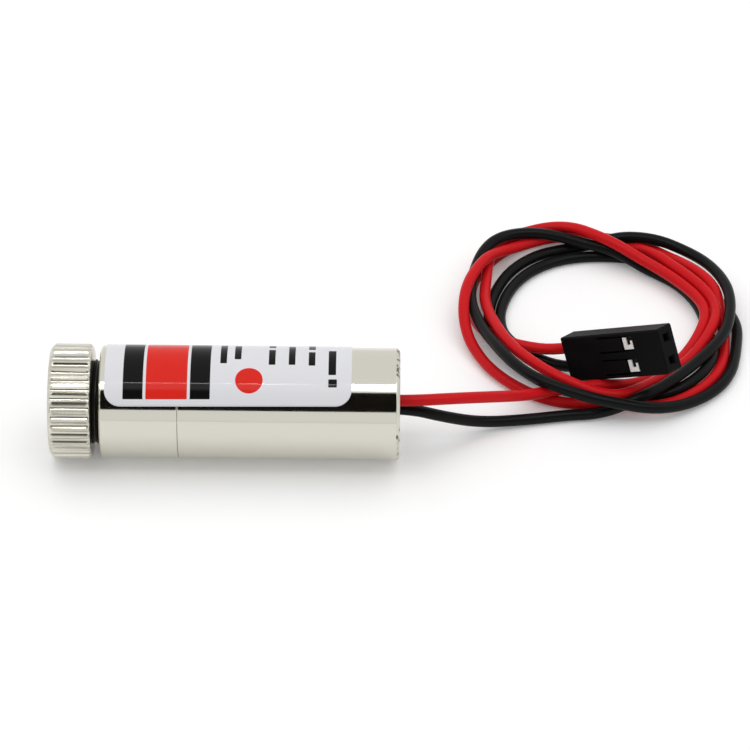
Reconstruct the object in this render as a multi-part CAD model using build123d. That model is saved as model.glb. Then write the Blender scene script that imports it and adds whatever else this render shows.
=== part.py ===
"""Laser diode module with a knurled focusing ring, a sticker, and two leads that end in a crimp connector.

The optical axis is X: the beam leaves along -X and the leads leave along +X. +Z is up.
The origin is on the axis, halfway along the barrel that a holder clamps. Sizes are millimetres.
"""
import math
import os

from build123d import *

# Barrel: a front heat sink that screws into a rear tube
BARREL_DIAMETER = 12.0
BARREL_LENGTH = 31.7
FRONT_BARREL_LENGTH = 8.3
REAR_BARREL_WALL = 1.0
FOCUS_BORE_WALL = 1.54
FRONT_EDGE_CHAMFER = 0.25
REAR_EDGE_CHAMFER = 0.35
SEAM_CHAMFER = 0.08
SPIGOT_SOCKET_WALL = 0.68
SPIGOT_LENGTH = 4.0
SPIGOT_CLEARANCE = 0.02

# Focusing ring with its straight knurl, a little proud of the barrel
RING_PROUD = 0.1
RING_LENGTH = 4.5
RING_FACE = 1.2
RING_FRONT_CHAMFER = 0.5
RING_REAR_CHAMFER = 0.3
FOCUS_GAP = 0.85
FLUTE_COUNT = 40
FLUTE_DEPTH = 0.26
FLUTE_RADIUS = 0.36
APERTURE_LIP = 0.3
APERTURE_CHAMFER = 0.5

# Threaded lens cell, drawn at the mean diameter of its fine thread
CELL_WALL = 1.07
CELL_LENGTH = 8.4
CELL_SEAT_DEPTH = 2.4
THREAD_CLEARANCE = 0.06
BOND_CLEARANCE = 0.02

# Lens and its retaining ring
LENS_SEAT_STEP = 0.5
LENS_EDGE = 1.1
LENS_DOME_HEIGHT = 1.2
LENS_CLEARANCE = 0.03
RETAINER_LENGTH = 1.2
RETAINER_WALL = 0.9
RETAINER_SLOT = 0.8
RETAINER_SLOT_DEPTH = 0.5

# Spring between the cell and the floor of the threaded bore
SPRING_SETBACK = 0.7
SPRING_WIRE = 0.45
SPRING_TURNS = 4
SPRING_CLEARANCE = 0.04
FOCUS_BORE_DEPTH = 8.0

# Laser diode, pressed into the front barrel from behind
DIODE_WEB = 1.2
DIODE_BASE_DIAMETER = 5.6
DIODE_BASE_THICKNESS = 1.2
DIODE_CAN_DIAMETER = 3.6
DIODE_CAN_LENGTH = 2.3
DIODE_CAN_WALL = 0.2
DIODE_CAN_HOLE = 1.6
DIODE_WINDOW_DIAMETER = 2.4
DIODE_WINDOW_THICKNESS = 0.25
DIODE_PIN_DIAMETER = 0.45
DIODE_PIN_LENGTH = 6.0
DIODE_PIN_CIRCLE = 2.0
DIODE_PIN_ANGLES = (45, 135, 270)
DIODE_CLEARANCE = 0.02
DIODE_CAN_CLEARANCE = 0.2

# Driver board and what is soldered to it
BOARD_EDGE_GAP = 0.8
BOARD_PLUG_GAP = 1.8
BOARD_THICKNESS = 0.8
BOARD_SETBACK = 1.6
CHIP_SIZE = (2.9, 1.3, 1.0)
CHIP_PIN_GAP = 0.25
CHIP_LEG = (0.4, 0.6, 0.15)
CHIP_LEG_PITCH = 1.9
RESISTOR_SIZE = (2.0, 1.25, 0.5)
RESISTOR_OFFSETS = ((-5.8, 2.4), (-3.2, 2.4))
CAPACITOR_SIZE = (3.2, 1.6, 1.2)
CAPACITOR_OFFSET = (-4.6, -2.2)

# Leads
WIRE_DIAMETER = 1.25
CORE_DIAMETER = 0.5
CORE_LENGTH = 2.3
CORE_BRIDGE = 0.6
PLUG_LENGTH = 2.5
PLUG_RECESS = 0.5
PLUG_CLEARANCE = 0.02
WIRE_HOLE_CLEARANCE = 0.03
SOLDER_WIDTH = 1.0
SOLDER_SLOPE = 0.33

# Sticker over the top of the barrel
LABEL_LENGTH = 26.1
LABEL_SETBACK = 0.5
LABEL_HEIGHT = 18.0
LABEL_THICKNESS = 0.08
LABEL_CORNER = 1.7
LABEL_LOW_ANGLE = 34.5
LABEL_GLUE = 0.01

# Crimp connector, lying with its wire end on the floor and its socket end on the coil
HOUSING_LENGTH = 14.0
HOUSING_PITCH = 2.54
HOUSING_THICKNESS = 2.54
HOUSING_EDGE = 0.15
CAVITY_SIDE = 1.84
SOCKET_FACE = 0.8
SOCKET_SIDE = 0.8
SOCKET_FUNNEL = 0.15
WINDOW_START = 1.6
WINDOW_LENGTH = 1.65
WINDOW_HEIGHT = 1.7
FINGER_LENGTH = 3.35
FINGER_SLIT = 0.18
FINGER_HEIGHT = 1.46
CONNECTOR_PLACE = (39.75, 9.8, -0.3)
CONNECTOR_YAW = -36
CONNECTOR_PITCH = -29
CONNECTOR_LEAN = -11

# Crimp terminals
TERMINAL_SIDE = 1.7
TERMINAL_WALL = 0.2
TERMINAL_BOX_LENGTH = 6.4
TERMINAL_STRIP = 1.0
CORE_CRIMP_DIAMETER = 1.1
CORE_CRIMP_LENGTH = 1.4
WIRE_CRIMP_LENGTH = 1.2
CRIMP_GAP = 0.9
CRIMP_CLEARANCE = 0.01
LATCH_HEIGHT = 0.3
LATCH_WIDTH = 0.5
LATCH_TIP_WIDTH = 0.28
LATCH_TIP_RISE = 0.95

# Loose coil of both leads, as the outer shape of its turns
COIL_CENTRE = (37.7, 21.8)
COIL_INNER_RADIUS = 9.9
COIL_OUTER_RADIUS = 15.7
COIL_HEIGHT = 3.4
COIL_EDGE = 1.2
COIL_POCKET = 0.2

# Where the leads leave the rear plug, as (y, z): the red one nearer and higher
RED_EXIT = (-0.35, 0.75)
BLACK_EXIT = (0.35, -0.75)

# Routes of the leads from the board to the coil, after their straight start in the plug
LEAD_STRAIGHT = 1.3
RED_LEAD_POINTS = [
    (21.6, 0.75, 0.3),
    (26.3, 3.4, -1.5),
    (30.8, 6.4, -3.5),
    (35.6, 7.7, -4.2),
]
BLACK_LEAD_POINTS = [
    (20.6, 1.1, -2.5),
    (24.6, 3.2, -4.9),
    (29.4, 4.4, -5.45),
    (34.4, 4.9, -5.45),
    (39.2, 6.6, -5.45),
]

# Routes from the connector to the coil, after their straight start in the cavity
TAIL_START = -4.3
TAIL_STRAIGHT = 4.1
RED_TAIL_POINTS = [
    (28.9, 16.2, -4.0),
    (26.0, 19.1, -3.9),
]
BLACK_TAIL_POINTS = [
    (29.7, 15.1, -5.4),
    (27.2, 17.2, -5.3),
]

# How far a cut runs past the face it opens
OVERSHOOT = 1.0

# Share of a straight run that the bend at one of its ends may take
BEND_SHARE = 0.45

# Places along the axis
barrel_radius = BARREL_DIAMETER / 2
front_face = -BARREL_LENGTH / 2
seam = front_face + FRONT_BARREL_LENGTH
rear_face = BARREL_LENGTH / 2
spigot_end = seam + SPIGOT_LENGTH
ring_rear = front_face - FOCUS_GAP
ring_front = ring_rear - RING_LENGTH
cell_front = ring_front + RING_FACE
cell_rear = cell_front + CELL_LENGTH
lens_front = cell_front + CELL_SEAT_DEPTH
lens_rear = lens_front + LENS_EDGE
retainer_rear = lens_rear + RETAINER_LENGTH
web_front = front_face + FOCUS_BORE_DEPTH
diode_shoulder = web_front + DIODE_WEB
diode_rear = diode_shoulder + DIODE_BASE_THICKNESS
pin_end = diode_rear + DIODE_PIN_LENGTH
plug_rear = rear_face - PLUG_RECESS
plug_front = plug_rear - PLUG_LENGTH
board_front = spigot_end + BOARD_SETBACK
board_rear = plug_front - BOARD_PLUG_GAP
wire_start = board_rear + CORE_BRIDGE

# Radii that several pieces share
ring_radius = barrel_radius + RING_PROUD
focus_bore_radius = barrel_radius - FOCUS_BORE_WALL
cell_radius = focus_bore_radius - THREAD_CLEARANCE
lens_pocket_radius = cell_radius - CELL_WALL
lens_radius = lens_pocket_radius - LENS_CLEARANCE
cell_bore_radius = lens_radius - LENS_SEAT_STEP
aperture_radius = cell_bore_radius - APERTURE_LIP
rear_bore_radius = barrel_radius - REAR_BARREL_WALL
spigot_socket_radius = barrel_radius - SPIGOT_SOCKET_WALL
spigot_radius = spigot_socket_radius - SPIGOT_CLEARANCE
diode_seat_radius = DIODE_BASE_DIAMETER / 2 + DIODE_CLEARANCE
wire_radius = WIRE_DIAMETER / 2
floor_level = -max(ring_radius, barrel_radius)
board_face = BOARD_THICKNESS / 2


def along_x(sketch_points):
    """Solid of revolution about the X axis from (x, radius) points."""
    outline = Polyline(*[(x, r, 0) for x, r in sketch_points], close=True)
    return revolve(make_face(outline), Axis.X)


def tube_x(start, end, outer, inner=0.0):
    """Round tube, or a plain rod, along the X axis."""
    return along_x([(start, inner), (end, inner), (end, outer), (start, outer)])


def rod_x(start, end, radius, y=0.0, z=0.0):
    """Round rod along X through (y, z)."""
    rod = Cylinder(radius, end - start, align=(Align.CENTER, Align.CENTER, Align.MIN))
    return Pos(start, y, z) * Rot(Y=90) * rod


def block(x0, x1, y0, y1, z0, z1):
    """Box between two corners."""
    return Pos(x0, y0, z0) * Box(x1 - x0, y1 - y0, z1 - z0, align=(Align.MIN, Align.MIN, Align.MIN))


def make_focus_ring():
    """Knurled ring with a chamfered face, a beam aperture and a bore for the lens cell."""
    bore = cell_radius + BOND_CLEARANCE
    ring = along_x([
        (ring_front, aperture_radius + APERTURE_CHAMFER),
        (ring_front + APERTURE_CHAMFER, aperture_radius),
        (cell_front, aperture_radius),
        (cell_front, bore),
        (ring_rear, bore),
        (ring_rear, ring_radius - RING_REAR_CHAMFER),
        (ring_rear - RING_REAR_CHAMFER, ring_radius),
        (ring_front + RING_FRONT_CHAMFER, ring_radius),
        (ring_front, ring_radius - RING_FRONT_CHAMFER),
    ])
    flute_axis = ring_radius - FLUTE_DEPTH + FLUTE_RADIUS
    flutes = []
    for index in range(FLUTE_COUNT):
        flute = rod_x(ring_front - OVERSHOOT, ring_rear + OVERSHOOT, FLUTE_RADIUS, 0, flute_axis)
        flutes.append(Rot(X=360 * (index + 0.5) / FLUTE_COUNT) * flute)
    return ring - flutes


def make_lens_cell():
    """Threaded tube that carries the lens, with its seat open to the rear."""
    return along_x([
        (cell_front, cell_bore_radius),
        (lens_front, cell_bore_radius),
        (lens_front, lens_pocket_radius),
        (cell_rear, lens_pocket_radius),
        (cell_rear, cell_radius),
        (cell_front, cell_radius),
    ])


def make_focus_lens():
    """Plano-convex lens, its dome towards the beam's exit."""
    dome_base = cell_bore_radius - 2 * LENS_CLEARANCE
    dome_radius = (dome_base ** 2 + LENS_DOME_HEIGHT ** 2) / (2 * LENS_DOME_HEIGHT)
    half_angle = math.asin(dome_base / dome_radius) / 2
    dome_top = lens_front - LENS_DOME_HEIGHT
    dome_middle = (dome_top + dome_radius * (1 - math.cos(half_angle)), dome_radius * math.sin(half_angle))
    edge = Polyline((dome_top, 0), (lens_rear, 0), (lens_rear, lens_radius),
                    (lens_front, lens_radius), (lens_front, dome_base))
    dome = ThreePointArc((lens_front, dome_base), dome_middle, (dome_top, 0))
    return revolve(make_face(edge.edges() + dome.edges()), Axis.X)


def make_lens_retainer():
    """Ring behind the lens, with two slots for a pin wrench."""
    ring = tube_x(lens_rear, retainer_rear, lens_radius, lens_radius - RETAINER_WALL)
    reach = lens_radius + OVERSHOOT
    slot = block(retainer_rear - RETAINER_SLOT_DEPTH, retainer_rear + OVERSHOOT,
                 -reach, reach, -RETAINER_SLOT / 2, RETAINER_SLOT / 2)
    return ring - slot


def make_focus_spring():
    """Spring from the cell's rear face to the floor of the focusing bore, as tilted half turns of wire."""
    wire = SPRING_WIRE / 2
    start = cell_rear + wire + SPRING_CLEARANCE
    half_pitch = (web_front - wire - SPRING_CLEARANCE - start) / (2 * SPRING_TURNS)
    radius = cell_radius - SPRING_SETBACK - wire
    reach = math.hypot(radius, half_pitch / 2)
    arcs = []
    for index in range(2 * SPRING_TURNS):
        x = start + index * half_pitch
        side = 1 if index % 2 == 0 else -1
        arcs.append(ThreePointArc((x, side * radius, 0), (x + half_pitch / 2, 0, side * reach),
                                  (x + half_pitch, -side * radius, 0)))
    path = Wire([arc.edge() for arc in arcs])
    section = Plane(origin=path @ 0, z_dir=path % 0) * Circle(wire)
    return sweep(section, path=path)


def make_front_barrel():
    """Front heat sink: focusing bore in front, diode seat behind, and a spigot for the rear barrel."""
    can_hole = DIODE_CAN_DIAMETER / 2 + DIODE_CAN_CLEARANCE
    return along_x([
        (front_face, focus_bore_radius),
        (web_front, focus_bore_radius),
        (web_front, can_hole),
        (diode_shoulder, can_hole),
        (diode_shoulder, diode_seat_radius),
        (spigot_end, diode_seat_radius),
        (spigot_end, spigot_radius),
        (seam, spigot_radius),
        (seam, barrel_radius - SEAM_CHAMFER),
        (seam - SEAM_CHAMFER, barrel_radius),
        (front_face + FRONT_EDGE_CHAMFER, barrel_radius),
        (front_face, barrel_radius - FRONT_EDGE_CHAMFER),
    ])


def make_rear_barrel():
    """Rear tube with a socket for the spigot and a chamfered rim."""
    return along_x([
        (seam, spigot_socket_radius),
        (spigot_end, spigot_socket_radius),
        (spigot_end, rear_bore_radius),
        (rear_face, rear_bore_radius),
        (rear_face, barrel_radius - REAR_EDGE_CHAMFER),
        (rear_face - REAR_EDGE_CHAMFER, barrel_radius),
        (seam + SEAM_CHAMFER, barrel_radius),
        (seam, barrel_radius - SEAM_CHAMFER),
    ])


def make_diode_base():
    """Round base of the laser diode, seated on the shoulder in the front barrel."""
    return tube_x(diode_shoulder, diode_rear, DIODE_BASE_DIAMETER / 2)


def make_diode_can():
    """Cap of the laser diode, open at its window."""
    outer = DIODE_CAN_DIAMETER / 2
    top = diode_shoulder - DIODE_CAN_LENGTH
    return along_x([
        (top, DIODE_CAN_HOLE / 2),
        (top, outer),
        (diode_shoulder, outer),
        (diode_shoulder, outer - DIODE_CAN_WALL),
        (top + DIODE_CAN_WALL, outer - DIODE_CAN_WALL),
        (top + DIODE_CAN_WALL, DIODE_CAN_HOLE / 2),
    ])


def make_diode_window():
    """Glass disc behind the hole in the can."""
    start = diode_shoulder - DIODE_CAN_LENGTH + DIODE_CAN_WALL
    return tube_x(start, start + DIODE_WINDOW_THICKNESS, DIODE_WINDOW_DIAMETER / 2)


def pin_places():
    """Places of the diode's pins as (y, z)."""
    radius = DIODE_PIN_CIRCLE / 2
    angles = [math.radians(angle) for angle in DIODE_PIN_ANGLES]
    return [(radius * math.cos(angle), radius * math.sin(angle)) for angle in angles]


def make_diode_pins():
    """Three pins from the diode's base to the driver board."""
    return Compound([rod_x(diode_rear, pin_end, DIODE_PIN_DIAMETER / 2, y, z) for y, z in pin_places()])


def make_driver_board():
    """Driver's circuit board, on the axis of the rear barrel."""
    half = rear_bore_radius - BOARD_EDGE_GAP
    return block(board_front, board_rear, -half, half, -board_face, board_face)


def make_driver_chip():
    """Transistor package with three bent legs on the board's upper face."""
    length, width, height = CHIP_SIZE
    leg_length, leg_reach, leg_height = CHIP_LEG
    centre = pin_end + CHIP_PIN_GAP + length / 2
    body = block(centre - length / 2, centre + length / 2, -width / 2, width / 2,
                 board_face + leg_height, board_face + height)
    places = [(-CHIP_LEG_PITCH / 2, -1), (CHIP_LEG_PITCH / 2, -1), (0, 1)]
    legs = []
    for offset, side in places:
        x0 = centre + offset - leg_length / 2
        near = side * width / 2 - side * leg_height
        far = side * (width / 2 + leg_reach)
        legs.append(block(x0, x0 + leg_length, min(near, far), max(near, far),
                          board_face, board_face + 2 * leg_height))
    return body + legs


def make_chip_resistors():
    """Chip resistors on the board's upper face."""
    length, width, height = RESISTOR_SIZE
    parts = []
    for along, across in RESISTOR_OFFSETS:
        centre = board_rear + along
        parts.append(block(centre - length / 2, centre + length / 2, across - width / 2, across + width / 2,
                           board_face, board_face + height))
    return Compound(parts)


def make_chip_capacitor():
    """Chip capacitor on the board's upper face."""
    length, width, height = CAPACITOR_SIZE
    along, across = CAPACITOR_OFFSET
    centre = board_rear + along
    return block(centre - length / 2, centre + length / 2, across - width / 2, across + width / 2,
                 board_face, board_face + height)


def lead_exits():
    """Places of the red and the black lead where they leave the plug, as (y, z)."""
    return [RED_EXIT, BLACK_EXIT]


def make_lead_cores():
    """Bare ends of the two leads on the board."""
    radius = CORE_DIAMETER / 2
    bare_start = wire_start - CORE_LENGTH
    return Compound([rod_x(bare_start, wire_start, radius, y, z) for y, z in lead_exits()])


def make_crimped_cores():
    """Bare ends of the two leads in their terminals, in the connector's own frame."""
    radius = CORE_DIAMETER / 2
    bare_end = TAIL_START + CORE_LENGTH
    return Compound([rod_x(TAIL_START, bare_end, radius, 0, height) for height in cavity_heights()])


def make_solder_joints(cores, pins):
    """Solder that joins the pins and the leads' bare ends to the board."""
    half = SOLDER_WIDTH / 2
    pin_rear = min(pin_end, board_rear)
    joints = []
    for y, z in pin_places():
        joints.append(solder_block(board_front + half, pin_rear, y, z) - pins)
    for y, z in lead_exits():
        joints.append(solder_block(wire_start - CORE_LENGTH, board_rear, y, z) - cores)
    return Compound([joint.solid() for joint in joints])


def solder_block(start, end, y, z):
    """Chamfered block of solder from the board's face up to a pin or a bare wire at (y, z)."""
    half = SOLDER_WIDTH / 2
    side = math.copysign(1, z)
    low = min(side * board_face, z)
    high = max(side * board_face, z)
    shape = block(start, end, y - half, y + half, low, high)
    top = shape.faces().sort_by(Axis.Z)[-1 if side > 0 else 0]
    return chamfer(top.edges().filter_by(Axis.X), SOLDER_SLOPE * (high - low))


def make_rear_plug():
    """Plug in the rear mouth, with a hole for each lead."""
    plug = tube_x(plug_front, plug_rear, rear_bore_radius - PLUG_CLEARANCE)
    hole = wire_radius + WIRE_HOLE_CLEARANCE
    return plug - [rod_x(plug_front - OVERSHOOT, plug_rear + OVERSHOOT, hole, y, z) for y, z in lead_exits()]


def label_corner_waste(along, across):
    """What is cut off one corner of the sticker, about the centre of the corner's arc."""
    reach = 2 * LABEL_CORNER
    waste = block(min(0, along * reach), max(0, along * reach),
                  min(0, across * reach), max(0, across * reach),
                  0, BARREL_DIAMETER)
    return waste - Cylinder(LABEL_CORNER, 4 * BARREL_DIAMETER)


def make_label():
    """Sticker bent round the barrel, with rounded corners."""
    inner = barrel_radius + LABEL_GLUE
    outer = inner + LABEL_THICKNESS
    start = front_face + LABEL_SETBACK
    end = start + LABEL_LENGTH
    wrap = math.degrees(LABEL_HEIGHT / barrel_radius)
    profile = Polyline((start, 0, inner), (end, 0, inner), (end, 0, outer), (start, 0, outer), close=True)
    sheet = revolve(make_face(profile), Axis.X, revolution_arc=wrap)
    near_edge = 90 - LABEL_LOW_ANGLE
    far_edge = near_edge - wrap
    sheet = Rot(X=far_edge) * sheet
    corner_turn = math.degrees(LABEL_CORNER / barrel_radius)
    for x, along in ((start + LABEL_CORNER, -1), (end - LABEL_CORNER, 1)):
        for turn, across in ((near_edge - corner_turn, -1), (far_edge + corner_turn, 1)):
            sheet -= Pos(x, 0, 0) * Rot(X=turn) * label_corner_waste(along, across)
    return sheet


def cavity_heights():
    """Heights of the red and the black cavity in the connector's own frame."""
    return [HOUSING_PITCH / 2, -HOUSING_PITCH / 2]


def connector_frame():
    """Place of the connector: X along it to the sockets, Z across its two ways, -Y out of its windows."""
    turn = Rot(Z=CONNECTOR_YAW) * Rot(Y=CONNECTOR_PITCH) * Rot(X=CONNECTOR_LEAN)
    return Pos(*CONNECTOR_PLACE) * turn


def housing_block(extra=0.0):
    """Outer block of the connector, in its own frame, grown by a margin."""
    return Box(HOUSING_LENGTH + 2 * extra, HOUSING_THICKNESS + 2 * extra, 2 * HOUSING_PITCH + 2 * extra)


def make_connector_housing():
    """Two-way housing: cavities, pin sockets with funnels, latch windows and their spring fingers."""
    end = HOUSING_LENGTH / 2
    face = -HOUSING_THICKNESS / 2
    housing = chamfer(housing_block().edges(), HOUSING_EDGE)
    socket_floor = end - SOCKET_FACE
    for height in cavity_heights():
        half = CAVITY_SIDE / 2
        housing -= block(-end - OVERSHOOT, socket_floor, -half, half, height - half, height + half)
        half = SOCKET_SIDE / 2
        housing -= block(socket_floor - OVERSHOOT, end + OVERSHOOT, -half, half,
                         height - half, height + half)
        wide = SOCKET_SIDE + 2 * SOCKET_FUNNEL
        mouth = Pos(end, 0, height) * Rot(Y=90) * Rectangle(wide, wide)
        throat = Pos(end - SOCKET_FUNNEL, 0, height) * Rot(Y=90) * Rectangle(SOCKET_SIDE, SOCKET_SIDE)
        housing -= loft([throat, mouth])
        half = WINDOW_HEIGHT / 2
        housing -= block(WINDOW_START, WINDOW_START + WINDOW_LENGTH, face - OVERSHOOT, 0,
                         height - half, height + half)
        half = FINGER_HEIGHT / 2
        for low in (height - half - FINGER_SLIT, height + half):
            housing -= block(WINDOW_START - FINGER_LENGTH, WINDOW_START + FINGER_SLIT, face - OVERSHOOT, 0,
                             low, low + FINGER_SLIT)
    return housing


def make_terminal(height):
    """Crimp terminal in one cavity: spring box, strip, core crimp, wire crimp and latch tab."""
    half = TERMINAL_SIDE / 2
    box_end = HOUSING_LENGTH / 2 - SOCKET_FACE - CRIMP_CLEARANCE
    box_start = box_end - TERMINAL_BOX_LENGTH
    inner = half - TERMINAL_WALL
    terminal = block(box_start, box_end, -half, half, height - half, height + half)
    terminal -= block(box_start - OVERSHOOT, box_end + OVERSHOOT, -inner, inner,
                      height - inner, height + inner)
    core_start = TAIL_START + CRIMP_GAP
    core_end = core_start + CORE_CRIMP_LENGTH
    core_crimp = rod_x(core_start, core_end, CORE_CRIMP_DIAMETER / 2, 0, height)
    core_crimp -= rod_x(core_start, core_end, CORE_DIAMETER / 2 + CRIMP_CLEARANCE, 0, height)
    wire_start_x = TAIL_START - WIRE_CRIMP_LENGTH
    wire_crimp = rod_x(wire_start_x, TAIL_START, wire_radius + TERMINAL_WALL, 0, height)
    wire_crimp -= rod_x(wire_start_x, TAIL_START, wire_radius + CRIMP_CLEARANCE, 0, height)
    crimp_floor = wire_radius + CRIMP_CLEARANCE
    strip = block(wire_start_x, box_start + TERMINAL_WALL, crimp_floor, half,
                  height - TERMINAL_STRIP / 2, height + TERMINAL_STRIP / 2)
    riser = block(core_start, core_end, CORE_DIAMETER / 2, half,
                  height - CORE_CRIMP_DIAMETER / 2, height + CORE_CRIMP_DIAMETER / 2)
    riser -= rod_x(core_start, core_end, CORE_CRIMP_DIAMETER / 2, 0, height)
    tab_low = height - WINDOW_HEIGHT / 2 + FINGER_SLIT
    tab_high = height + WINDOW_HEIGHT / 2 - FINGER_SLIT
    tab_start = WINDOW_START + FINGER_SLIT
    tab_end = WINDOW_START + WINDOW_LENGTH - FINGER_SLIT
    tab_face = -half - LATCH_HEIGHT
    upright = block(tab_start, tab_start + LATCH_WIDTH, tab_face, -inner, tab_low, tab_high)
    foot = block(tab_start, tab_end, tab_face, -inner, tab_low, tab_low + LATCH_WIDTH)
    tip = block(tab_end - LATCH_TIP_WIDTH, tab_end, tab_face, -inner, tab_low, tab_low + LATCH_TIP_RISE)
    return terminal + core_crimp + wire_crimp + strip + riser + upright + foot + tip


def route_radii(points):
    """Largest tangent arc at each corner of a route that leaves part of both runs straight."""
    radii = []
    for before, corner, after in zip(points, points[1:], points[2:]):
        run_in = Vector(corner) - Vector(before)
        run_out = Vector(after) - Vector(corner)
        half_turn = math.radians(run_in.get_angle(run_out)) / 2
        radii.append(BEND_SHARE * min(run_in.length, run_out.length) / math.tan(half_turn))
    return radii


def make_wire(name, points):
    """Round tube along straight runs joined by tangent arcs."""
    radii = route_radii(points)
    path = FilletPolyline(*points, radius=radii)
    section = Plane(origin=path @ 0, z_dir=path % 0) * Circle(wire_radius)
    wire = sweep(section, path=path)
    expected = math.pi * wire_radius ** 2 * path.length
    print(f"{name}: length {path.length:.2f}, radii {[round(radius, 1) for radius in radii]},"
          f" volume ratio {wire.volume / expected:.4f}")
    return wire


def lead_route(exit_place, points):
    """Lead's route: straight out of the plug and then along the chosen points."""
    y, z = exit_place
    return [(wire_start, y, z), (plug_rear + LEAD_STRAIGHT, y, z)] + points


def tail_route(connector, height, points):
    """Tail's route: straight out of the connector's cavity and then along the chosen points."""
    starts = [connector * Pos(TAIL_START, 0, height), connector * Pos(TAIL_START - TAIL_STRAIGHT, 0, height)]
    places = [tuple(start.position) for start in starts]
    return places + points


def make_wire_coil(connector):
    """Closed solid of the coil's outer shape, with a pocket where the connector lies in it."""
    x, y = COIL_CENTRE
    middle = (COIL_INNER_RADIUS + COIL_OUTER_RADIUS) / 2
    width = COIL_OUTER_RADIUS - COIL_INNER_RADIUS
    section = Plane.XZ * Pos(middle, COIL_HEIGHT / 2) * Rectangle(width, COIL_HEIGHT)
    section = chamfer(section.vertices(), COIL_EDGE)
    ring = revolve(section, Axis.Z)
    return Pos(x, y, floor_level) * ring - connector * housing_block(COIL_POCKET)


connector = connector_frame()
red_height, black_height = cavity_heights()
pins = make_diode_pins()
cores = make_lead_cores()

pieces = {
    "focus_ring": make_focus_ring(),
    "lens_cell": make_lens_cell(),
    "focus_lens": make_focus_lens(),
    "lens_retainer": make_lens_retainer(),
    "focus_spring": make_focus_spring(),
    "front_barrel": make_front_barrel(),
    "rear_barrel": make_rear_barrel(),
    "diode_base": make_diode_base(),
    "diode_can": make_diode_can(),
    "diode_window": make_diode_window(),
    "diode_pins": pins,
    "driver_board": make_driver_board(),
    "driver_chip": make_driver_chip(),
    "chip_resistors": make_chip_resistors(),
    "chip_capacitor": make_chip_capacitor(),
    "lead_cores": cores,
    "solder_joints": make_solder_joints(cores, pins),
    "rear_plug": make_rear_plug(),
    "label": make_label(),
    "red_lead": make_wire("red_lead", lead_route(RED_EXIT, RED_LEAD_POINTS)),
    "black_lead": make_wire("black_lead", lead_route(BLACK_EXIT, BLACK_LEAD_POINTS)),
    "wire_coil": make_wire_coil(connector),
    "red_tail": make_wire("red_tail", tail_route(connector, red_height, RED_TAIL_POINTS)),
    "black_tail": make_wire("black_tail", tail_route(connector, black_height, BLACK_TAIL_POINTS)),
    "connector_housing": connector * make_connector_housing(),
    "crimped_cores": connector * make_crimped_cores(),
    "red_terminal": connector * make_terminal(red_height),
    "black_terminal": connector * make_terminal(black_height),
}

os.makedirs("parts", exist_ok=True)
for node, shape in pieces.items():
    export_step(shape, f"parts/{node}.step")
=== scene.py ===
"""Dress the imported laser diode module: plated barrel, knurled ring, sticker and two coiled leads.

The optical axis is X, the beam leaves along -X, and +Z is up. Sizes in the classes are millimetres, and
every mesh is made in metres.
"""

import logging
import math
from dataclasses import dataclass
from enum import Enum

import bmesh
import bpy
import numpy as np
from mathutils import Matrix, Vector


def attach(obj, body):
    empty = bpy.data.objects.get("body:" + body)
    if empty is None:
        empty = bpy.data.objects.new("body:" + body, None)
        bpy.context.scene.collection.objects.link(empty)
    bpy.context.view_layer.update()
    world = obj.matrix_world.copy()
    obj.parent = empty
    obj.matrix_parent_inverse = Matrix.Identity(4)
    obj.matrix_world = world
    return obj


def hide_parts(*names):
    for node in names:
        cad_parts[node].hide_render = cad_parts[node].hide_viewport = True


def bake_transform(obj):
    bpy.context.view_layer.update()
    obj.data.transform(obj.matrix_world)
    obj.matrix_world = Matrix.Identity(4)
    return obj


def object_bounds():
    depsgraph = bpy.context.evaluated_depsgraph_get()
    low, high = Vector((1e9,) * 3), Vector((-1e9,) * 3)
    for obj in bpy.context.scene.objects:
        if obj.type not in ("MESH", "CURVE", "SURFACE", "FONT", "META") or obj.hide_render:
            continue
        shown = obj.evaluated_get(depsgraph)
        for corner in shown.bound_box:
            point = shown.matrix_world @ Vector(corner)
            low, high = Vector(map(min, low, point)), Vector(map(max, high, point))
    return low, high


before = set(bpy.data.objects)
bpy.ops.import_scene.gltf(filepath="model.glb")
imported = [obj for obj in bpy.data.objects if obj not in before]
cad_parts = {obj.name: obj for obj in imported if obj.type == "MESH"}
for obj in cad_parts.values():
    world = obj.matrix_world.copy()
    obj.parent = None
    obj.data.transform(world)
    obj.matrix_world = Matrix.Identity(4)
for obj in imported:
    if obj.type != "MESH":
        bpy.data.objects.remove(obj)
CAD_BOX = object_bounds()

LOG = logging.getLogger("laser_module")
MM = 0.001
Colour = tuple[float, float, float]
Outline = list[tuple[float, float]]
Place = tuple[float, float, float]

WHITE: Colour = (1.0, 1.0, 1.0)
MERGE_DISTANCE = 0.0000005
CORNER_SHARE = 0.45
TURNED_CREASE = 35.0
KNURL_CREASE = 40.0
LENS_CREASE = 30.0
CONNECTOR_PLACE: Place = (39.75, 9.8, -0.3)
CONNECTOR_TURN: Place = (-36.0, -29.0, -11.0)
LATCH_TAB_DEPTH = -1.0


class Body(Enum):
    """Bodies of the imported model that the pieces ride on."""

    MODULE = "module"
    CARRIAGE = "spring_carriage"
    HEAD = "focus_head"


class Slot(Enum):
    """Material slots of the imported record."""

    BARREL = "barrel_plating"
    KNURL = "knurled_plating"
    BLACKENED = "blackened_metal"
    GLASS = "lens_glass"
    SPRING = "spring_steel"
    GOLD = "gold_plating"
    BOARD = "board_laminate"
    CHIP = "chip_black"
    CERAMIC = "capacitor_ceramic"
    COPPER = "bare_copper"
    SOLDER = "solder"
    PLUG = "plug_black"
    PAPER = "label_paper"
    RED_WIRE = "red_insulation"
    BLACK_WIRE = "black_insulation"
    CONNECTOR = "connector_black"
    TERMINAL = "terminal_plating"


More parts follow.
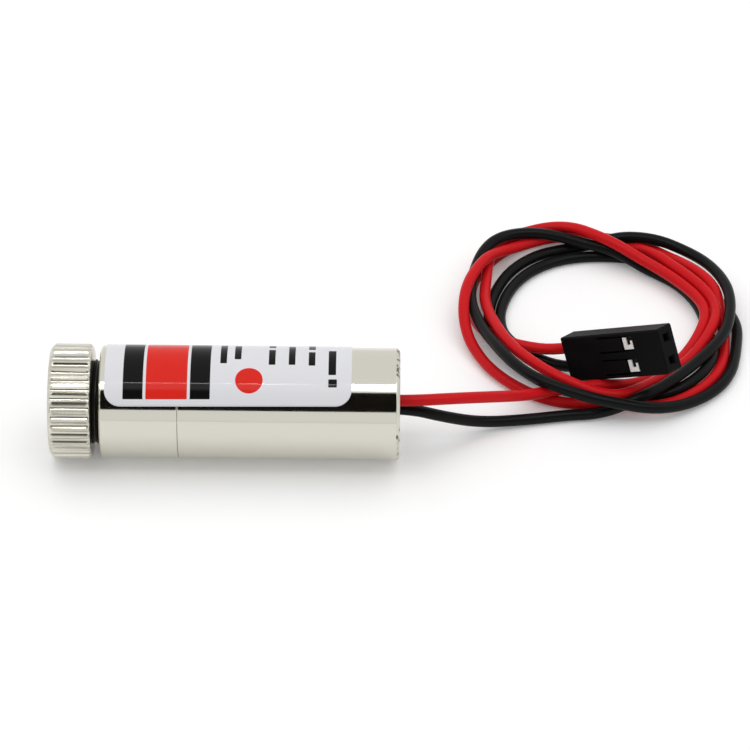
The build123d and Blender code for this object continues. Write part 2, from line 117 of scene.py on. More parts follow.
class NodeBuilder:
    """Adds and joins the nodes of one tree."""

    def __init__(self, tree: bpy.types.NodeTree) -> None:
        """Keep the tree.

        Args:
            tree: Tree that the nodes go into.
        """
        self.tree = tree

    def feed(self, socket: bpy.types.NodeSocket, value: object) -> None:
        """Set a socket's value, or link another socket to it.

        Args:
            socket: Input to set.
            value: Plain value, or the output to link.
        """
        if isinstance(value, bpy.types.NodeSocket):
            self.tree.links.new(value, socket)
        else:
            socket.default_value = value

    def add(self, kind: str, inputs: dict | None = None, **settings: object) -> bpy.types.Node:
        """Add a node.

        Args:
            kind: Node type.
            inputs: Values or outputs for its inputs, by name or number.
            **settings: Properties of the node.

        Returns:
            The new node.
        """
        node = self.tree.nodes.new(kind)
        for key, value in settings.items():
            setattr(node, key, value)
        for key, value in (inputs or {}).items():
            self.feed(node.inputs[key], value)
        return node


class ShaderTree(NodeBuilder):
    """Nodes of one material."""

    def __init__(self, name: str) -> None:
        """Make an empty material with a principled surface.

        Args:
            name: Name of the material.
        """
        self.material = bpy.data.materials.new(name)
        self.material.use_nodes = True
        super().__init__(self.material.node_tree)
        self.surface = self.tree.nodes["Principled BSDF"]

    def paint(self, **values: object) -> None:
        """Set inputs of the surface, named with underscores for spaces.

        Args:
            **values: Plain values or outputs to link.
        """
        for key, value in values.items():
            self.feed(self.surface.inputs[key.replace("_", " ")], value)

    def object_place(self) -> bpy.types.NodeSocket:
        """Return the output that holds the place in the object's own frame, in metres."""
        return self.add("ShaderNodeTexCoord").outputs["Object"]

    def grain(self, scale: float, detail: float = 2.0) -> bpy.types.NodeSocket:
        """Add a noise in the object's own frame.

        Args:
            scale: Grains per metre.
            detail: Octaves of the noise.

        Returns:
            Output between 0 and 1.
        """
        inputs = {"Vector": self.object_place(), "Scale": scale, "Detail": detail}
        return self.add("ShaderNodeTexNoise", inputs).outputs["Fac"]

    def spread(self, value: bpy.types.NodeSocket, low: float, high: float) -> bpy.types.NodeSocket:
        """Map a value between 0 and 1 to a range.

        Args:
            value: Output to map.
            low: Result at 0.
            high: Result at 1.

        Returns:
            The mapped output.
        """
        inputs = {"Value": value, "To Min": low, "To Max": high}
        return self.add("ShaderNodeMapRange", inputs).outputs["Result"]

    def blend(self, share: bpy.types.NodeSocket, first: object, second: object) -> bpy.types.NodeSocket:
        """Mix two colours.

        Args:
            share: Output that is 0 for the first colour and 1 for the second.
            first: Colour, or the output that holds it.
            second: Colour, or the output that holds it.

        Returns:
            Output with the mixed colour.
        """
        mix = self.add("ShaderNodeMix", {"Factor": share}, data_type="RGBA")
        colours = [socket for socket in mix.inputs if socket.type == "RGBA"]
        self.feed(colours[0], first)
        self.feed(colours[1], second)
        return next(socket for socket in mix.outputs if socket.type == "RGBA")

    def bump(self, height: bpy.types.NodeSocket, depth: float, strength: float) -> None:
        """Roughen the surface's normal.

        Args:
            height: Output between 0 and 1.
            depth: Depth of the relief in metres.
            strength: Share of the relief that shows.
        """
        inputs = {"Height": height, "Distance": depth, "Strength": strength}
        self.paint(Normal=self.add("ShaderNodeBump", inputs).outputs["Normal"])


@dataclass(frozen=True)
class TurnedPlating:
    """Nickel plate over turned metal, with the tool's fine rings and a rear rim worn rough and nicked."""

    name: str
    colour: Colour
    roughness: float
    rim: float
    nicked: Colour = (0.16, 0.15, 0.13)
    rim_blur: float = 0.08
    rim_dulling: float = 0.3
    nicks_per_metre: float = 1500.0
    nick_edges: tuple[float, float] = (0.58, 0.64)
    rings_per_metre: float = 9000.0
    ring_detail: float = 3.0
    ring_depth: float = 0.000004
    ring_strength: float = 0.12
    blotch_per_metre: float = 700.0
    unevenness: float = 0.25

    def make(self) -> bpy.types.Material:
        """Return the material."""
        tree = ShaderTree(self.name)
        along = tree.add("ShaderNodeSeparateXYZ", {"Vector": tree.object_place()}).outputs["X"]
        inputs = {"W": along, "Scale": self.rings_per_metre, "Detail": self.ring_detail}
        rings = tree.add("ShaderNodeTexNoise", inputs, noise_dimensions="1D").outputs["Fac"]
        inputs = {"Value": along, "From Min": (self.rim - self.rim_blur) * MM, "From Max": self.rim * MM}
        at_rim = tree.add("ShaderNodeMapRange", inputs).outputs["Result"]
        shallow, deep = self.nick_edges
        inputs = {"Value": tree.grain(self.nicks_per_metre), "From Min": shallow, "From Max": deep}
        nicks = tree.add("ShaderNodeMapRange", inputs).outputs["Result"]
        rim_nicks = tree.add("ShaderNodeMath", {0: at_rim, 1: nicks}, operation="MULTIPLY").outputs["Value"]
        change = self.roughness * self.unevenness
        blotches = tree.grain(self.blotch_per_metre)
        gloss = tree.spread(blotches, self.roughness - change, self.roughness + change)
        inputs = {0: at_rim, 1: self.rim_dulling, 2: gloss}
        tree.paint(
            Base_Color=tree.blend(rim_nicks, (*self.colour, 1.0), (*self.nicked, 1.0)),
            Metallic=1.0,
            Roughness=tree.add("ShaderNodeMath", inputs, operation="MULTIPLY_ADD").outputs["Value"],
        )
        tree.bump(rings, self.ring_depth, self.ring_strength)
        return tree.material


@dataclass(frozen=True)
class KnurledPlating:
    """Nickel plate on the ring: uneven bright and dark streaks along its grip, a painted reflection with a
    matching real bump and roughness, and fine turned rings on its faces.
    """

    name: str
    bright: Colour
    dark: Colour
    roughness: float
    grip: tuple[float, float]
    grip_inset: float = 0.05
    grip_blur: float = 0.3
    rings_per_metre: float = 9000.0
    ring_detail: float = 3.0
    streaks_per_metre: float = 2600.0
    streak_detail: float = 4.0
    stretch: float = 0.05
    streak_depth: float = 0.00005
    streak_strength: float = 0.45
    ring_relief: tuple[float, float] = (0.45, 0.55)
    # Ends of the mask that paints reflection on the grip and gives a faint ring tone on the faces
    painted_reflection_range: tuple[float, float] = (0.35, 0.65)
    dark_dulling: float = 1.3
    bright_dulling: float = 0.8

    def make(self) -> bpy.types.Material:
        """Return the material."""
        tree = ShaderTree(self.name)
        place = tree.object_place()
        drawn = tree.add("ShaderNodeMapping", {"Vector": place, "Scale": (self.stretch, 1.0, 1.0)})
        inputs = {
            "Vector": drawn.outputs["Vector"],
            "Scale": self.streaks_per_metre,
            "Detail": self.streak_detail,
        }
        streaks = tree.add("ShaderNodeTexNoise", inputs).outputs["Fac"]
        across = tree.add("ShaderNodeMapping", {"Vector": place, "Scale": (0.0, 1.0, 1.0)})
        inputs = {0: across.outputs["Vector"]}
        radius = tree.add("ShaderNodeVectorMath", inputs, operation="LENGTH").outputs["Value"]
        inputs = {"W": radius, "Scale": self.rings_per_metre, "Detail": self.ring_detail}
        rings = tree.add("ShaderNodeTexNoise", inputs, noise_dimensions="1D").outputs["Fac"]
        rings = tree.spread(rings, *self.ring_relief)
        inputs = {"Factor": self.on_grip(tree, place), "A": rings, "B": streaks}
        relief = tree.add("ShaderNodeMix", inputs).outputs["Result"]
        # On the grip the streaks paint bright and dark reflection into the base colour; on the faces the
        # turned rings give only a faint tone
        dark_reflection_end, bright_reflection_end = self.painted_reflection_range
        inputs = {"Value": relief, "From Min": dark_reflection_end, "From Max": bright_reflection_end}
        rings_and_painted_reflection = tree.add("ShaderNodeMapRange", inputs).outputs["Result"]
        tree.paint(
            Base_Color=tree.blend(rings_and_painted_reflection, (*self.dark, 1.0), (*self.bright, 1.0)),
            Metallic=1.0,
            Roughness=tree.spread(
                rings_and_painted_reflection, self.roughness * self.dark_dulling, self.roughness * self.bright_dulling
            ),
        )
        tree.bump(relief, self.streak_depth, self.streak_strength)
        return tree.material

    def on_grip(self, tree: ShaderTree, place: bpy.types.NodeSocket) -> bpy.types.NodeSocket:
        """Add the nodes that tell the grip from the ring's two faces.

        Args:
            tree: Material's nodes.
            place: Output with the place in the ring's own frame.

        Returns:
            Output that is 1 on the grip and 0 on the faces.
        """
        front, rear = self.grip
        half = (rear - front) / 2 - self.grip_inset
        along = tree.add("ShaderNodeSeparateXYZ", {"Vector": place}).outputs["X"]
        inputs = {0: along, 1: (front + rear) / 2 * MM}
        offset = tree.add("ShaderNodeMath", inputs, operation="SUBTRACT").outputs["Value"]
        inputs = {
            "Value": tree.add("ShaderNodeMath", {0: offset}, operation="ABSOLUTE").outputs["Value"],
            "From Min": (half - self.grip_blur) * MM,
            "From Max": half * MM,
            "To Min": 1.0,
            "To Max": 0.0,
        }
        return tree.add("ShaderNodeMapRange", inputs).outputs["Result"]


@dataclass(frozen=True)
class PlainMetal:
    """Metal of one colour, a little duller in places."""

    name: str
    colour: Colour
    roughness: float
    metallic: float = 1.0
    blotch_per_metre: float = 1800.0
    unevenness: float = 0.2

    def make(self) -> bpy.types.Material:
        """Return the material."""
        tree = ShaderTree(self.name)
        change = self.roughness * self.unevenness
        blotches = tree.grain(self.blotch_per_metre)
        tree.paint(
            Base_Color=(*self.colour, 1.0),
            Metallic=self.metallic,
            Roughness=tree.spread(blotches, self.roughness - change, self.roughness + change),
        )
        return tree.material


@dataclass(frozen=True)
class Plastic:
    """Moulded or extruded plastic with a fine grain."""

    name: str
    colour: Colour
    roughness: float
    grain_per_metre: float = 6000.0
    grain_depth: float = 0.00001
    grain_strength: float = 0.1
    specular: float = 0.5
    unevenness: float = 0.15

    def make(self) -> bpy.types.Material:
        """Return the material."""
        tree = ShaderTree(self.name)
        change = self.roughness * self.unevenness
        grain = tree.grain(self.grain_per_metre)
        tree.paint(
            Base_Color=(*self.colour, 1.0),
            Roughness=tree.spread(grain, self.roughness - change, self.roughness + change),
            Specular_IOR_Level=self.specular,
        )
        tree.bump(grain, self.grain_depth, self.grain_strength)
        return tree.material


@dataclass(frozen=True)
class LensGlass:
    """Clear polished glass."""

    name: str
    colour: Colour = (0.95, 0.97, 0.98)
    roughness: float = 0.02
    index: float = 1.52

    def make(self) -> bpy.types.Material:
        """Return the material."""
        tree = ShaderTree(self.name)
        tree.paint(
            Base_Color=(*self.colour, 1.0),
            Roughness=self.roughness,
            IOR=self.index,
            Transmission_Weight=1.0,
        )
        return tree.material


@dataclass(frozen=True)
class PrintBlock:
    """One printed rectangle with rounded corners, in millimetres on the flat sticker."""

    along: tuple[float, float]
    across: tuple[float, float]
    corner: float
    colour: Colour


INK_BLACK: Colour = (0.006, 0.006, 0.0065)
INK_RED: Colour = (0.72, 0.024, 0.016)
PAPER: Colour = (0.75, 0.75, 0.78)


@dataclass(frozen=True)
class PrintedPaper:
    """Coated sticker paper with plain printed fields."""

    name: str
    length: float
    height: float
    blocks: tuple[PrintBlock, ...]
    edge_blur: float = 0.02
    grain_per_metre: float = 2500.0
    gloss: tuple[float, float] = (0.03, 0.06)
    specular: float = 0.1

    def block_mask(
        self, tree: ShaderTree, flat: bpy.types.NodeSocket, block: PrintBlock
    ) -> bpy.types.NodeSocket:
        """Add the nodes that tell where one block is printed.

        Args:
            tree: Material's nodes.
            flat: Output with the place on the flat sticker in millimetres.
            block: Block to print.

        Returns:
            Output that is 1 in the block and 0 outside it.
        """
        (u0, u1), (v0, v1) = block.along, block.across
        centre = ((u0 + u1) / 2, (v0 + v1) / 2, 0.0)
        half = ((u1 - u0) / 2 - block.corner, (v1 - v0) / 2 - block.corner, 0.0)
        vector = "ShaderNodeVectorMath"
        offset = tree.add(vector, {0: flat, 1: centre}, operation="SUBTRACT").outputs["Vector"]
        folded = tree.add(vector, {0: offset}, operation="ABSOLUTE").outputs["Vector"]
        beyond = tree.add(vector, {0: folded, 1: half}, operation="SUBTRACT").outputs["Vector"]
        outside = tree.add(vector, {0: beyond, 1: (0.0, 0.0, 0.0)}, operation="MAXIMUM").outputs["Vector"]
        distance = tree.add(vector, {0: outside}, operation="LENGTH").outputs["Value"]
        inputs = {
            "Value": distance,
            "From Min": block.corner - self.edge_blur,
            "From Max": block.corner + self.edge_blur,
            "To Min": 1.0,
            "To Max": 0.0,
        }
        return tree.add("ShaderNodeMapRange", inputs).outputs["Result"]

    def make(self) -> bpy.types.Material:
        """Return the material."""
        tree = ShaderTree(self.name)
        share = tree.add("ShaderNodeUVMap").outputs["UV"]
        size = (self.length, self.height, 0.0)
        flat = tree.add("ShaderNodeVectorMath", {0: share, 1: size}, operation="MULTIPLY").outputs["Vector"]
        ink: object = (*PAPER, 1.0)
        for block in self.blocks:
            ink = tree.blend(self.block_mask(tree, flat, block), ink, (*block.colour, 1.0))
        tree.paint(
            Base_Color=ink,
            Roughness=tree.spread(tree.grain(self.grain_per_metre), *self.gloss),
            Specular_IOR_Level=self.specular,
        )
        return tree.material


@dataclass(frozen=True)
class CrimpMetal:
    """Tinned terminal: tin colour on its latch tab, and painted shade, near black, not metal and barely
    glossy, on the box that lies deep in the housing.
    """

    name: str
    place: Place
    turn: Place
    tab_depth: float
    bright: Colour = (0.90, 0.89, 0.85)
    # Near-black painted shade for the box that lies deep in the housing
    painted_shade: Colour = (0.012, 0.012, 0.012)
    metallic: tuple[float, float] = (0.3, 0.0)
    roughness: float = 0.35
    specular: tuple[float, float] = (0.5, 0.1)
    blur: float = 0.04

    def make(self) -> bpy.types.Material:
        """Return the material."""
        yaw, pitch, lean = (math.radians(angle) for angle in self.turn)
        leaning = Matrix.Rotation(pitch, 3, "Y") @ Matrix.Rotation(lean, 3, "X")
        inward = Matrix.Rotation(yaw, 3, "Z") @ leaning @ Vector((0.0, 1.0, 0.0))
        middle = inward.dot(Vector(self.place)) * MM
        tree = ShaderTree(self.name)
        inputs = {0: tree.object_place(), 1: tuple(inward)}
        depth = tree.add("ShaderNodeVectorMath", inputs, operation="DOT_PRODUCT").outputs["Value"]
        inputs = {
            "Value": depth,
            "From Min": middle + (self.tab_depth - self.blur) * MM,
            "From Max": middle + (self.tab_depth + self.blur) * MM,
        }
        inside = tree.add("ShaderNodeMapRange", inputs).outputs["Result"]
        # Past the latch tab's depth the terminal takes painted shade: near-black colour, no metal and
        # little gloss
        tree.paint(
            Base_Color=tree.blend(inside, (*self.bright, 1.0), (*self.painted_shade, 1.0)),
            Metallic=tree.spread(inside, *self.metallic),
            Roughness=self.roughness,
            Specular_IOR_Level=tree.spread(inside, *self.specular),
        )
        return tree.material


class Finishes:
    """Every material of the module, by slot."""

    def __init__(self, sticker: "Sticker") -> None:
        """Make the materials.

        Args:
            sticker: Sticker whose sizes the print needs.
        """
        nickel = (0.655, 0.64, 0.565)
        rim = Barrel.rear - Barrel.rear_chamfer
        grip = (FocusHead.ring_front, FocusHead.ring_rear)
        blocks = sticker.print_blocks()
        styles = {
            Slot.BARREL: TurnedPlating("barrel_nickel", nickel, 0.075, rim, ring_strength=0.06),
            Slot.KNURL: KnurledPlating("ring_nickel", (0.74, 0.72, 0.63), (0.46, 0.445, 0.375), 0.24, grip),
            Slot.BLACKENED: PlainMetal("blackened_metal", (0.012, 0.011, 0.010), 0.5, 0.3),
            Slot.GLASS: LensGlass("lens_glass"),
            Slot.SPRING: PlainMetal("spring_steel", (0.5, 0.5, 0.5), 0.3),
            Slot.GOLD: PlainMetal("gold_plate", (0.83, 0.6, 0.24), 0.22),
            Slot.BOARD: Plastic("green_laminate", (0.02, 0.16, 0.06), 0.3),
            Slot.CHIP: Plastic("chip_resin", (0.02, 0.02, 0.02), 0.5),
            Slot.CERAMIC: Plastic("capacitor_ceramic", (0.42, 0.27, 0.15), 0.4),
            Slot.COPPER: PlainMetal("bare_copper", (0.78, 0.36, 0.2), 0.3),
            Slot.SOLDER: PlainMetal("solder", (0.7, 0.7, 0.71), 0.28),
            Slot.PLUG: Plastic("plug_resin", (0.01, 0.01, 0.01), 0.55, specular=0.2),
            Slot.PAPER: PrintedPaper("sticker_paper", sticker.length, sticker.height, blocks),
            Slot.RED_WIRE: Plastic("red_insulation", (0.60, 0.008, 0.012), 0.36, specular=0.1),
            Slot.BLACK_WIRE: Plastic("black_insulation", (0.005, 0.0055, 0.0055), 0.36, specular=0.1),
            Slot.CONNECTOR: Plastic("connector_nylon", (0.0055, 0.0055, 0.006), 0.36, specular=0.035),
            Slot.TERMINAL: CrimpMetal("terminal_tin", CONNECTOR_PLACE, CONNECTOR_TURN, LATCH_TAB_DEPTH),
        }
        self.materials = {slot: style.make() for slot, style in styles.items()}

    def dress(self, node: str, slot: Slot) -> None:
        """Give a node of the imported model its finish.

        Args:
            node: Name of the node.
            slot: Slot whose material it takes.
        """
        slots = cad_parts[node].data.materials
        slots.clear()
        slots.append(self.materials[slot])
        LOG.info("dressed %s as %s", node, slot.value)


def soften(outline: Outline, reach: float, steps: int = 3) -> Outline:
    """Round the corners of a closed outline.

    Args:
        outline: Corner points in order.
        reach: Distance from a corner at which its rounding starts.
        steps: Pieces that each rounding is drawn in.

    Returns:
        Points of the rounded outline.
    """
    points = [Vector(point) for point in outline]
    rounded: Outline = []
    for index, corner in enumerate(points):
        before, after = points[index - 1], points[(index + 1) % len(points)]
        room = min(reach, CORNER_SHARE * min((before - corner).length, (after - corner).length))
        start = corner + (before - corner).normalized() * room
        end = corner + (after - corner).normalized() * room
        for step in range(steps + 1):
            share = step / steps
            place = start * (1 - share) ** 2 + corner * 2 * share * (1 - share) + end * share ** 2
            rounded.append((place.x, place.y))
    return rounded


def finish_mesh(mesh: bpy.types.Mesh, crease: float) -> None:
    """Close a mesh's seams, turn its faces outwards and smooth it.

    Args:
        mesh: Mesh to finish.
        crease: Angle in degrees from which an edge stays sharp.
    """
    work = bmesh.new()
    work.from_mesh(mesh)
    bmesh.ops.remove_doubles(work, verts=work.verts, dist=MERGE_DISTANCE)
    bmesh.ops.recalc_face_normals(work, faces=work.faces)
    work.to_mesh(mesh)
    work.free()
    mesh.shade_smooth()
    mesh.set_sharp_from_angle(angle=math.radians(crease))


def shown(name: str, data: bpy.types.ID) -> bpy.types.Object:
    """Put data into the scene at the origin.

    Args:
        name: Name of the object.
        data: Mesh or curve.

    Returns:
        The new object.
    """
    piece = bpy.data.objects.new(name, data)
    bpy.context.scene.collection.objects.link(piece)
    return piece


def wall_faces(columns: int, count: int, turned: bool, closed: bool) -> list[tuple[int, int, int, int]]:
    """Join neighbouring outlines with four-sided faces.

    Args:
        columns: Number of outlines in order.
        count: Points of each outline.
        turned: Whether the last outline joins the first.
        closed: Whether an outline's last point joins its first.

    Returns:
        Corners of every face.
    """
    faces = []
    for column in range(columns if turned else columns - 1):
        here, following = column * count, (column + 1) % columns * count
        for index in range(count if closed else count - 1):
            beside = (index + 1) % count
            faces.append((here + index, here + beside, following + beside, following + index))
    return faces


def spin(name: str, outline: Outline, segments: int, closed: bool = True) -> bpy.types.Mesh:
    """Turn an outline about the X axis.

    Args:
        name: Name of the mesh.
        outline: Points as (x, radius) in millimetres.
        segments: Steps round the axis.
        closed: Whether the last point joins the first.

    Returns:
        The new mesh, in metres.
    """
    places: list[Place] = []
    for step in range(segments):
        angle = 2 * math.pi * step / segments
        for x, radius in outline:
            places.append((x * MM, radius * math.sin(angle) * MM, radius * math.cos(angle) * MM))
    mesh = bpy.data.meshes.new(name)
    mesh.from_pydata(places, [], wall_faces(segments, len(outline), True, closed))
    return mesh


class NodeRig(NodeBuilder):
    """One Geometry Nodes tree that is baked into a plain mesh."""

    def __init__(self, name: str, inputs: dict[str, tuple[str, object]]) -> None:
        """Make an empty tree with named inputs.

        Args:
            name: Name of the tree.
            inputs: Socket type and value of each named input.
        """
        super().__init__(bpy.data.node_groups.new(name, "GeometryNodeTree"))
        face = self.tree.interface
        face.new_socket("Geometry", in_out="INPUT", socket_type="NodeSocketGeometry")
        self.values = {}
        for key, (kind, value) in inputs.items():
            socket = face.new_socket(key, in_out="INPUT", socket_type=kind)
            self.values[socket.identifier] = value
        face.new_socket("Geometry", in_out="OUTPUT", socket_type="NodeSocketGeometry")
        self.source = self.tree.nodes.new("NodeGroupInput")
        self.result = self.tree.nodes.new("NodeGroupOutput")

    def end(self, geometry: bpy.types.NodeSocket) -> None:
        """Realize the instances, set the material and join the tree's output.

        Args:
            geometry: Output that holds the built geometry.
        """
        solid = self.add("GeometryNodeRealizeInstances", {"Geometry": geometry}).outputs["Geometry"]
        finish = self.source.outputs["Material"]
        coated = self.add("GeometryNodeSetMaterial", {"Geometry": solid, "Material": finish})
        self.tree.links.new(coated.outputs["Geometry"], self.result.inputs[0])

    def bake(self, name: str, seed: bpy.types.Mesh) -> bpy.types.Mesh:
        """Run the tree on a mesh and return the result as a plain mesh.

        Args:
            name: Name of the new mesh.
            seed: Mesh that the tree starts from.

        Returns:
            The baked mesh.
        """
        holder = shown(name + "_seed", seed)
        modifier = holder.modifiers.new("rig", "NODES")
        modifier.node_group = self.tree
        for identifier, value in self.values.items():
            modifier[identifier] = value
        evaluated = holder.evaluated_get(bpy.context.evaluated_depsgraph_get())
        mesh = bpy.data.meshes.new_from_object(evaluated)
        mesh.name = name
        holder.modifiers.remove(modifier)
        bpy.data.objects.remove(holder)
        return mesh


@dataclass(frozen=True)
class Winding:
    """Wire wound in an even helix along X."""

    name: str
    start: float
    length: float
    radius: float
    turns: float
    wire_radius: float
    sides: int
    steps: int = 72

    def mesh(self, material: bpy.types.Material) -> bpy.types.Mesh:
        """Wind the wire.

        Args:
            material: Finish of the wire.

        Returns:
            The wound wire as a plain mesh.
        """
        rig = NodeRig(self.name + "_rig", {
            "Turns": ("NodeSocketFloat", self.turns),
            "Radius": ("NodeSocketFloat", self.radius * MM),
            "Length": ("NodeSocketFloat", self.length * MM),
            "Wire": ("NodeSocketFloat", self.wire_radius * MM),
            "Start": ("NodeSocketVector", (self.start * MM, 0.0, 0.0)),
            "Material": ("NodeSocketMaterial", material),
        })
        given = rig.source.outputs
        helix = rig.add("GeometryNodeCurveSpiral", {
            "Resolution": self.steps,
            "Rotations": given["Turns"],
            "Start Radius": given["Radius"],
            "End Radius": given["Radius"],
            "Height": given["Length"],
        })
        section = rig.add("GeometryNodeCurvePrimitiveCircle", {
            "Resolution": self.sides,
            "Radius": given["Wire"],
        })
        swept = rig.add("GeometryNodeCurveToMesh", {
            "Curve": helix.outputs["Curve"],
            "Profile Curve": section.outputs["Curve"],
            "Fill Caps": True,
        })
        turned = rig.add("GeometryNodeTransform", {
            "Geometry": swept.outputs["Mesh"],
            "Translation": given["Start"],
            "Rotation": (0.0, math.pi / 2, 0.0),
        })
        rig.end(turned.outputs["Geometry"])
        mesh = rig.bake(self.name, bpy.data.meshes.new(self.name + "_start"))
        finish_mesh(mesh, TURNED_CREASE)
        return mesh


@dataclass
class Barrel:
    """Plated barrel: the front heat sink, the rear tube and the seam between them."""

    radius: float = 6.0
    front: float = -15.85
    seam: float = -7.55
    rear: float = 15.85
    front_chamfer: float = 0.25
    rear_chamfer: float = 0.35
    seam_chamfer: float = 0.08
    focus_bore: float = 4.46
    web_front: float = -7.85
    shoulder: float = -6.65
    can_hole: float = 2.0
    diode_seat: float = 2.82
    spigot: float = 5.3
    spigot_end: float = -3.55
    socket: float = 5.32
    rear_bore: float = 5.0
    edge: float = 0.07
    segments: int = 160

    def front_outline(self) -> Outline:
        """Return the section of the front heat sink."""
        return [
            (self.front, self.focus_bore),
            (self.web_front, self.focus_bore),
            (self.web_front, self.can_hole),
            (self.shoulder, self.can_hole),
            (self.shoulder, self.diode_seat),
            (self.spigot_end, self.diode_seat),
            (self.spigot_end, self.spigot),
            (self.seam, self.spigot),
            (self.seam, self.radius - self.seam_chamfer),
            (self.seam - self.seam_chamfer, self.radius),
            (self.front + self.front_chamfer, self.radius),
            (self.front, self.radius - self.front_chamfer),
        ]

    def rear_outline(self) -> Outline:
        """Return the section of the rear tube."""
        return [
            (self.seam, self.socket),
            (self.spigot_end, self.socket),
            (self.spigot_end, self.rear_bore),
            (self.rear, self.rear_bore),
            (self.rear, self.radius - self.rear_chamfer),
            (self.rear - self.rear_chamfer, self.radius),
            (self.seam + self.seam_chamfer, self.radius),
            (self.seam, self.radius - self.seam_chamfer),
        ]

    def build(self, finishes: Finishes) -> None:
        """Build and dress both halves.

        Args:
            finishes: Materials by slot.
        """
        for name, outline in (("front_barrel", self.front_outline()), ("rear_barrel", self.rear_outline())):
            mesh = spin(name + "_turned", soften(outline, self.edge), self.segments)
            finish_mesh(mesh, TURNED_CREASE)
            mesh.materials.append(finishes.materials[Slot.BARREL])
            piece = shown(name + "_turned", mesh)
            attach(piece, Body.MODULE.value)
            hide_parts(name)
            LOG.info("built %s", piece.name)


@dataclass
class FocusHead:
    """Focusing head: the knurled ring, the threaded lens cell and the lens."""

    ring_radius: float = 6.1
    ring_front: float = -21.2
    ring_rear: float = -16.7
    front_chamfer: float = 0.5
    rear_chamfer: float = 0.3
    aperture: float = 2.5
    aperture_chamfer: float = 0.5
    face_rear: float = -20.0
    bore: float = 4.42
    flute_count: int = 40
    flute_depth: float = 0.2
    flute_radius: float = 0.34
    land_rounding: float = 0.12
    flute_columns: int = 14
    grip_pieces: int = 8
    edge: float = 0.12
    cell_rear: float = -11.6
    cell_radius: float = 4.4
    cell_bore: float = 2.8
    lens_front: float = -17.6
    pocket: float = 3.33
    thread_pitch: float = 0.5
    thread_depth: float = 0.2
    lens_radius: float = 3.3
    lens_rear: float = -16.5
    dome_base: float = 2.74
    dome_height: float = 1.2
    dome_steps: int = 16
    cell_segments: int = 96
    lens_segments: int = 64
    thread_sides: int = 4

    def ring_outline(self) -> Outline:
        """Return the ring's section without its flutes, with close points along the grip."""
        corners = [
            (self.ring_front, self.aperture + self.aperture_chamfer),
            (self.ring_front + self.aperture_chamfer, self.aperture),
            (self.face_rear, self.aperture),
            (self.face_rear, self.bore),
            (self.ring_rear, self.bore),
            (self.ring_rear, self.ring_radius - self.rear_chamfer),
            (self.ring_rear - self.rear_chamfer, self.ring_radius),
            (self.ring_front + self.front_chamfer, self.ring_radius),
            (self.ring_front, self.ring_radius - self.front_chamfer),
        ]
        rounded = soften(corners, self.edge)
        close: Outline = []
        for index, (x, radius) in enumerate(rounded):
            close.append((x, radius))
            next_x, next_radius = rounded[(index + 1) % len(rounded)]
            if min(radius, next_radius) > self.ring_radius - self.front_chamfer:
                pieces = max(1, round(math.hypot(next_x - x, next_radius - radius) / self.edge))
                pieces = min(pieces, self.grip_pieces)
                for part in range(1, pieces):
                    share = part / pieces
                    close.append((x + (next_x - x) * share, radius + (next_radius - radius) * share))
        return close

    def flute_limit(self, turn: float) -> float:
        """Return the radius of the flute's floor.

        Args:
            turn: Angle from the flute's middle in radians.

        Returns:
            Radius in millimetres, or a large one outside the flute.
        """
        axis = self.ring_radius - self.flute_depth + self.flute_radius
        inside = self.flute_radius ** 2 - (axis * math.sin(turn)) ** 2
        if inside <= 0:
            return axis * math.cos(turn)
        return axis * math.cos(turn) - math.sqrt(inside)

    def soft_least(self, first: float, second: float) -> float:
        """Return the smaller of two radii, blended where they are near each other.

        Args:
            first: Radius in millimetres.
            second: Radius in millimetres.

        Returns:
            Blended radius in millimetres.
        """
        gap = max(self.land_rounding - abs(first - second), 0.0) / self.land_rounding
        return min(first, second) - gap * gap * self.land_rounding / 4

    def wedge(self) -> bpy.types.Mesh:
        """Return one flute's share of the ring, from land to land."""
        outline = self.ring_outline()
        half_pitch = math.pi / self.flute_count
        places: list[Place] = []
        for column in range(self.flute_columns + 1):
            turn = half_pitch * (2 * column / self.flute_columns - 1)
            limit = self.flute_limit(turn)
            for x, radius in outline:
                fluted = self.soft_least(radius, limit)
                side, up = fluted * math.sin(turn), fluted * math.cos(turn)
                places.append((x * MM, side * MM, up * MM))
        mesh = bpy.data.meshes.new("flute_wedge")
        mesh.from_pydata(places, [], wall_faces(self.flute_columns + 1, len(outline), False, True))
        return mesh

    def build_ring(self, finishes: Finishes) -> None:
        """Repeat the wedge round the axis and dress the ring.

        Args:
            finishes: Materials by slot.
        """
        material = finishes.materials[Slot.KNURL]
        rig = NodeRig("knurl_rig", {
            "Flutes": ("NodeSocketInt", self.flute_count),
            "Turn": ("NodeSocketFloat", 2 * math.pi / self.flute_count),
            "Material": ("NodeSocketMaterial", material),
        })
        given = rig.source.outputs
        points = rig.add("GeometryNodeMeshLine", {"Count": given["Flutes"], "Offset": (0.0, 0.0, 0.0)})
        index = rig.add("GeometryNodeInputIndex").outputs["Index"]
        half = rig.add("ShaderNodeMath", {0: index, 1: 0.5}, operation="ADD").outputs["Value"]
        angle = rig.add("ShaderNodeMath", {0: half, 1: given["Turn"]}, operation="MULTIPLY")
        turn = rig.add("ShaderNodeCombineXYZ", {"X": angle.outputs["Value"]}).outputs["Vector"]
        placed = rig.add("GeometryNodeInstanceOnPoints", {
            "Points": points.outputs["Mesh"],
            "Instance": given["Geometry"],
            "Rotation": turn,
        })
        rig.end(placed.outputs["Instances"])
        mesh = rig.bake("focus_ring_knurled", self.wedge())
        finish_mesh(mesh, KNURL_CREASE)
        piece = shown("focus_ring_knurled", mesh)
        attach(piece, Body.HEAD.value)
        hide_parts("focus_ring")
        LOG.info("built %s", piece.name)

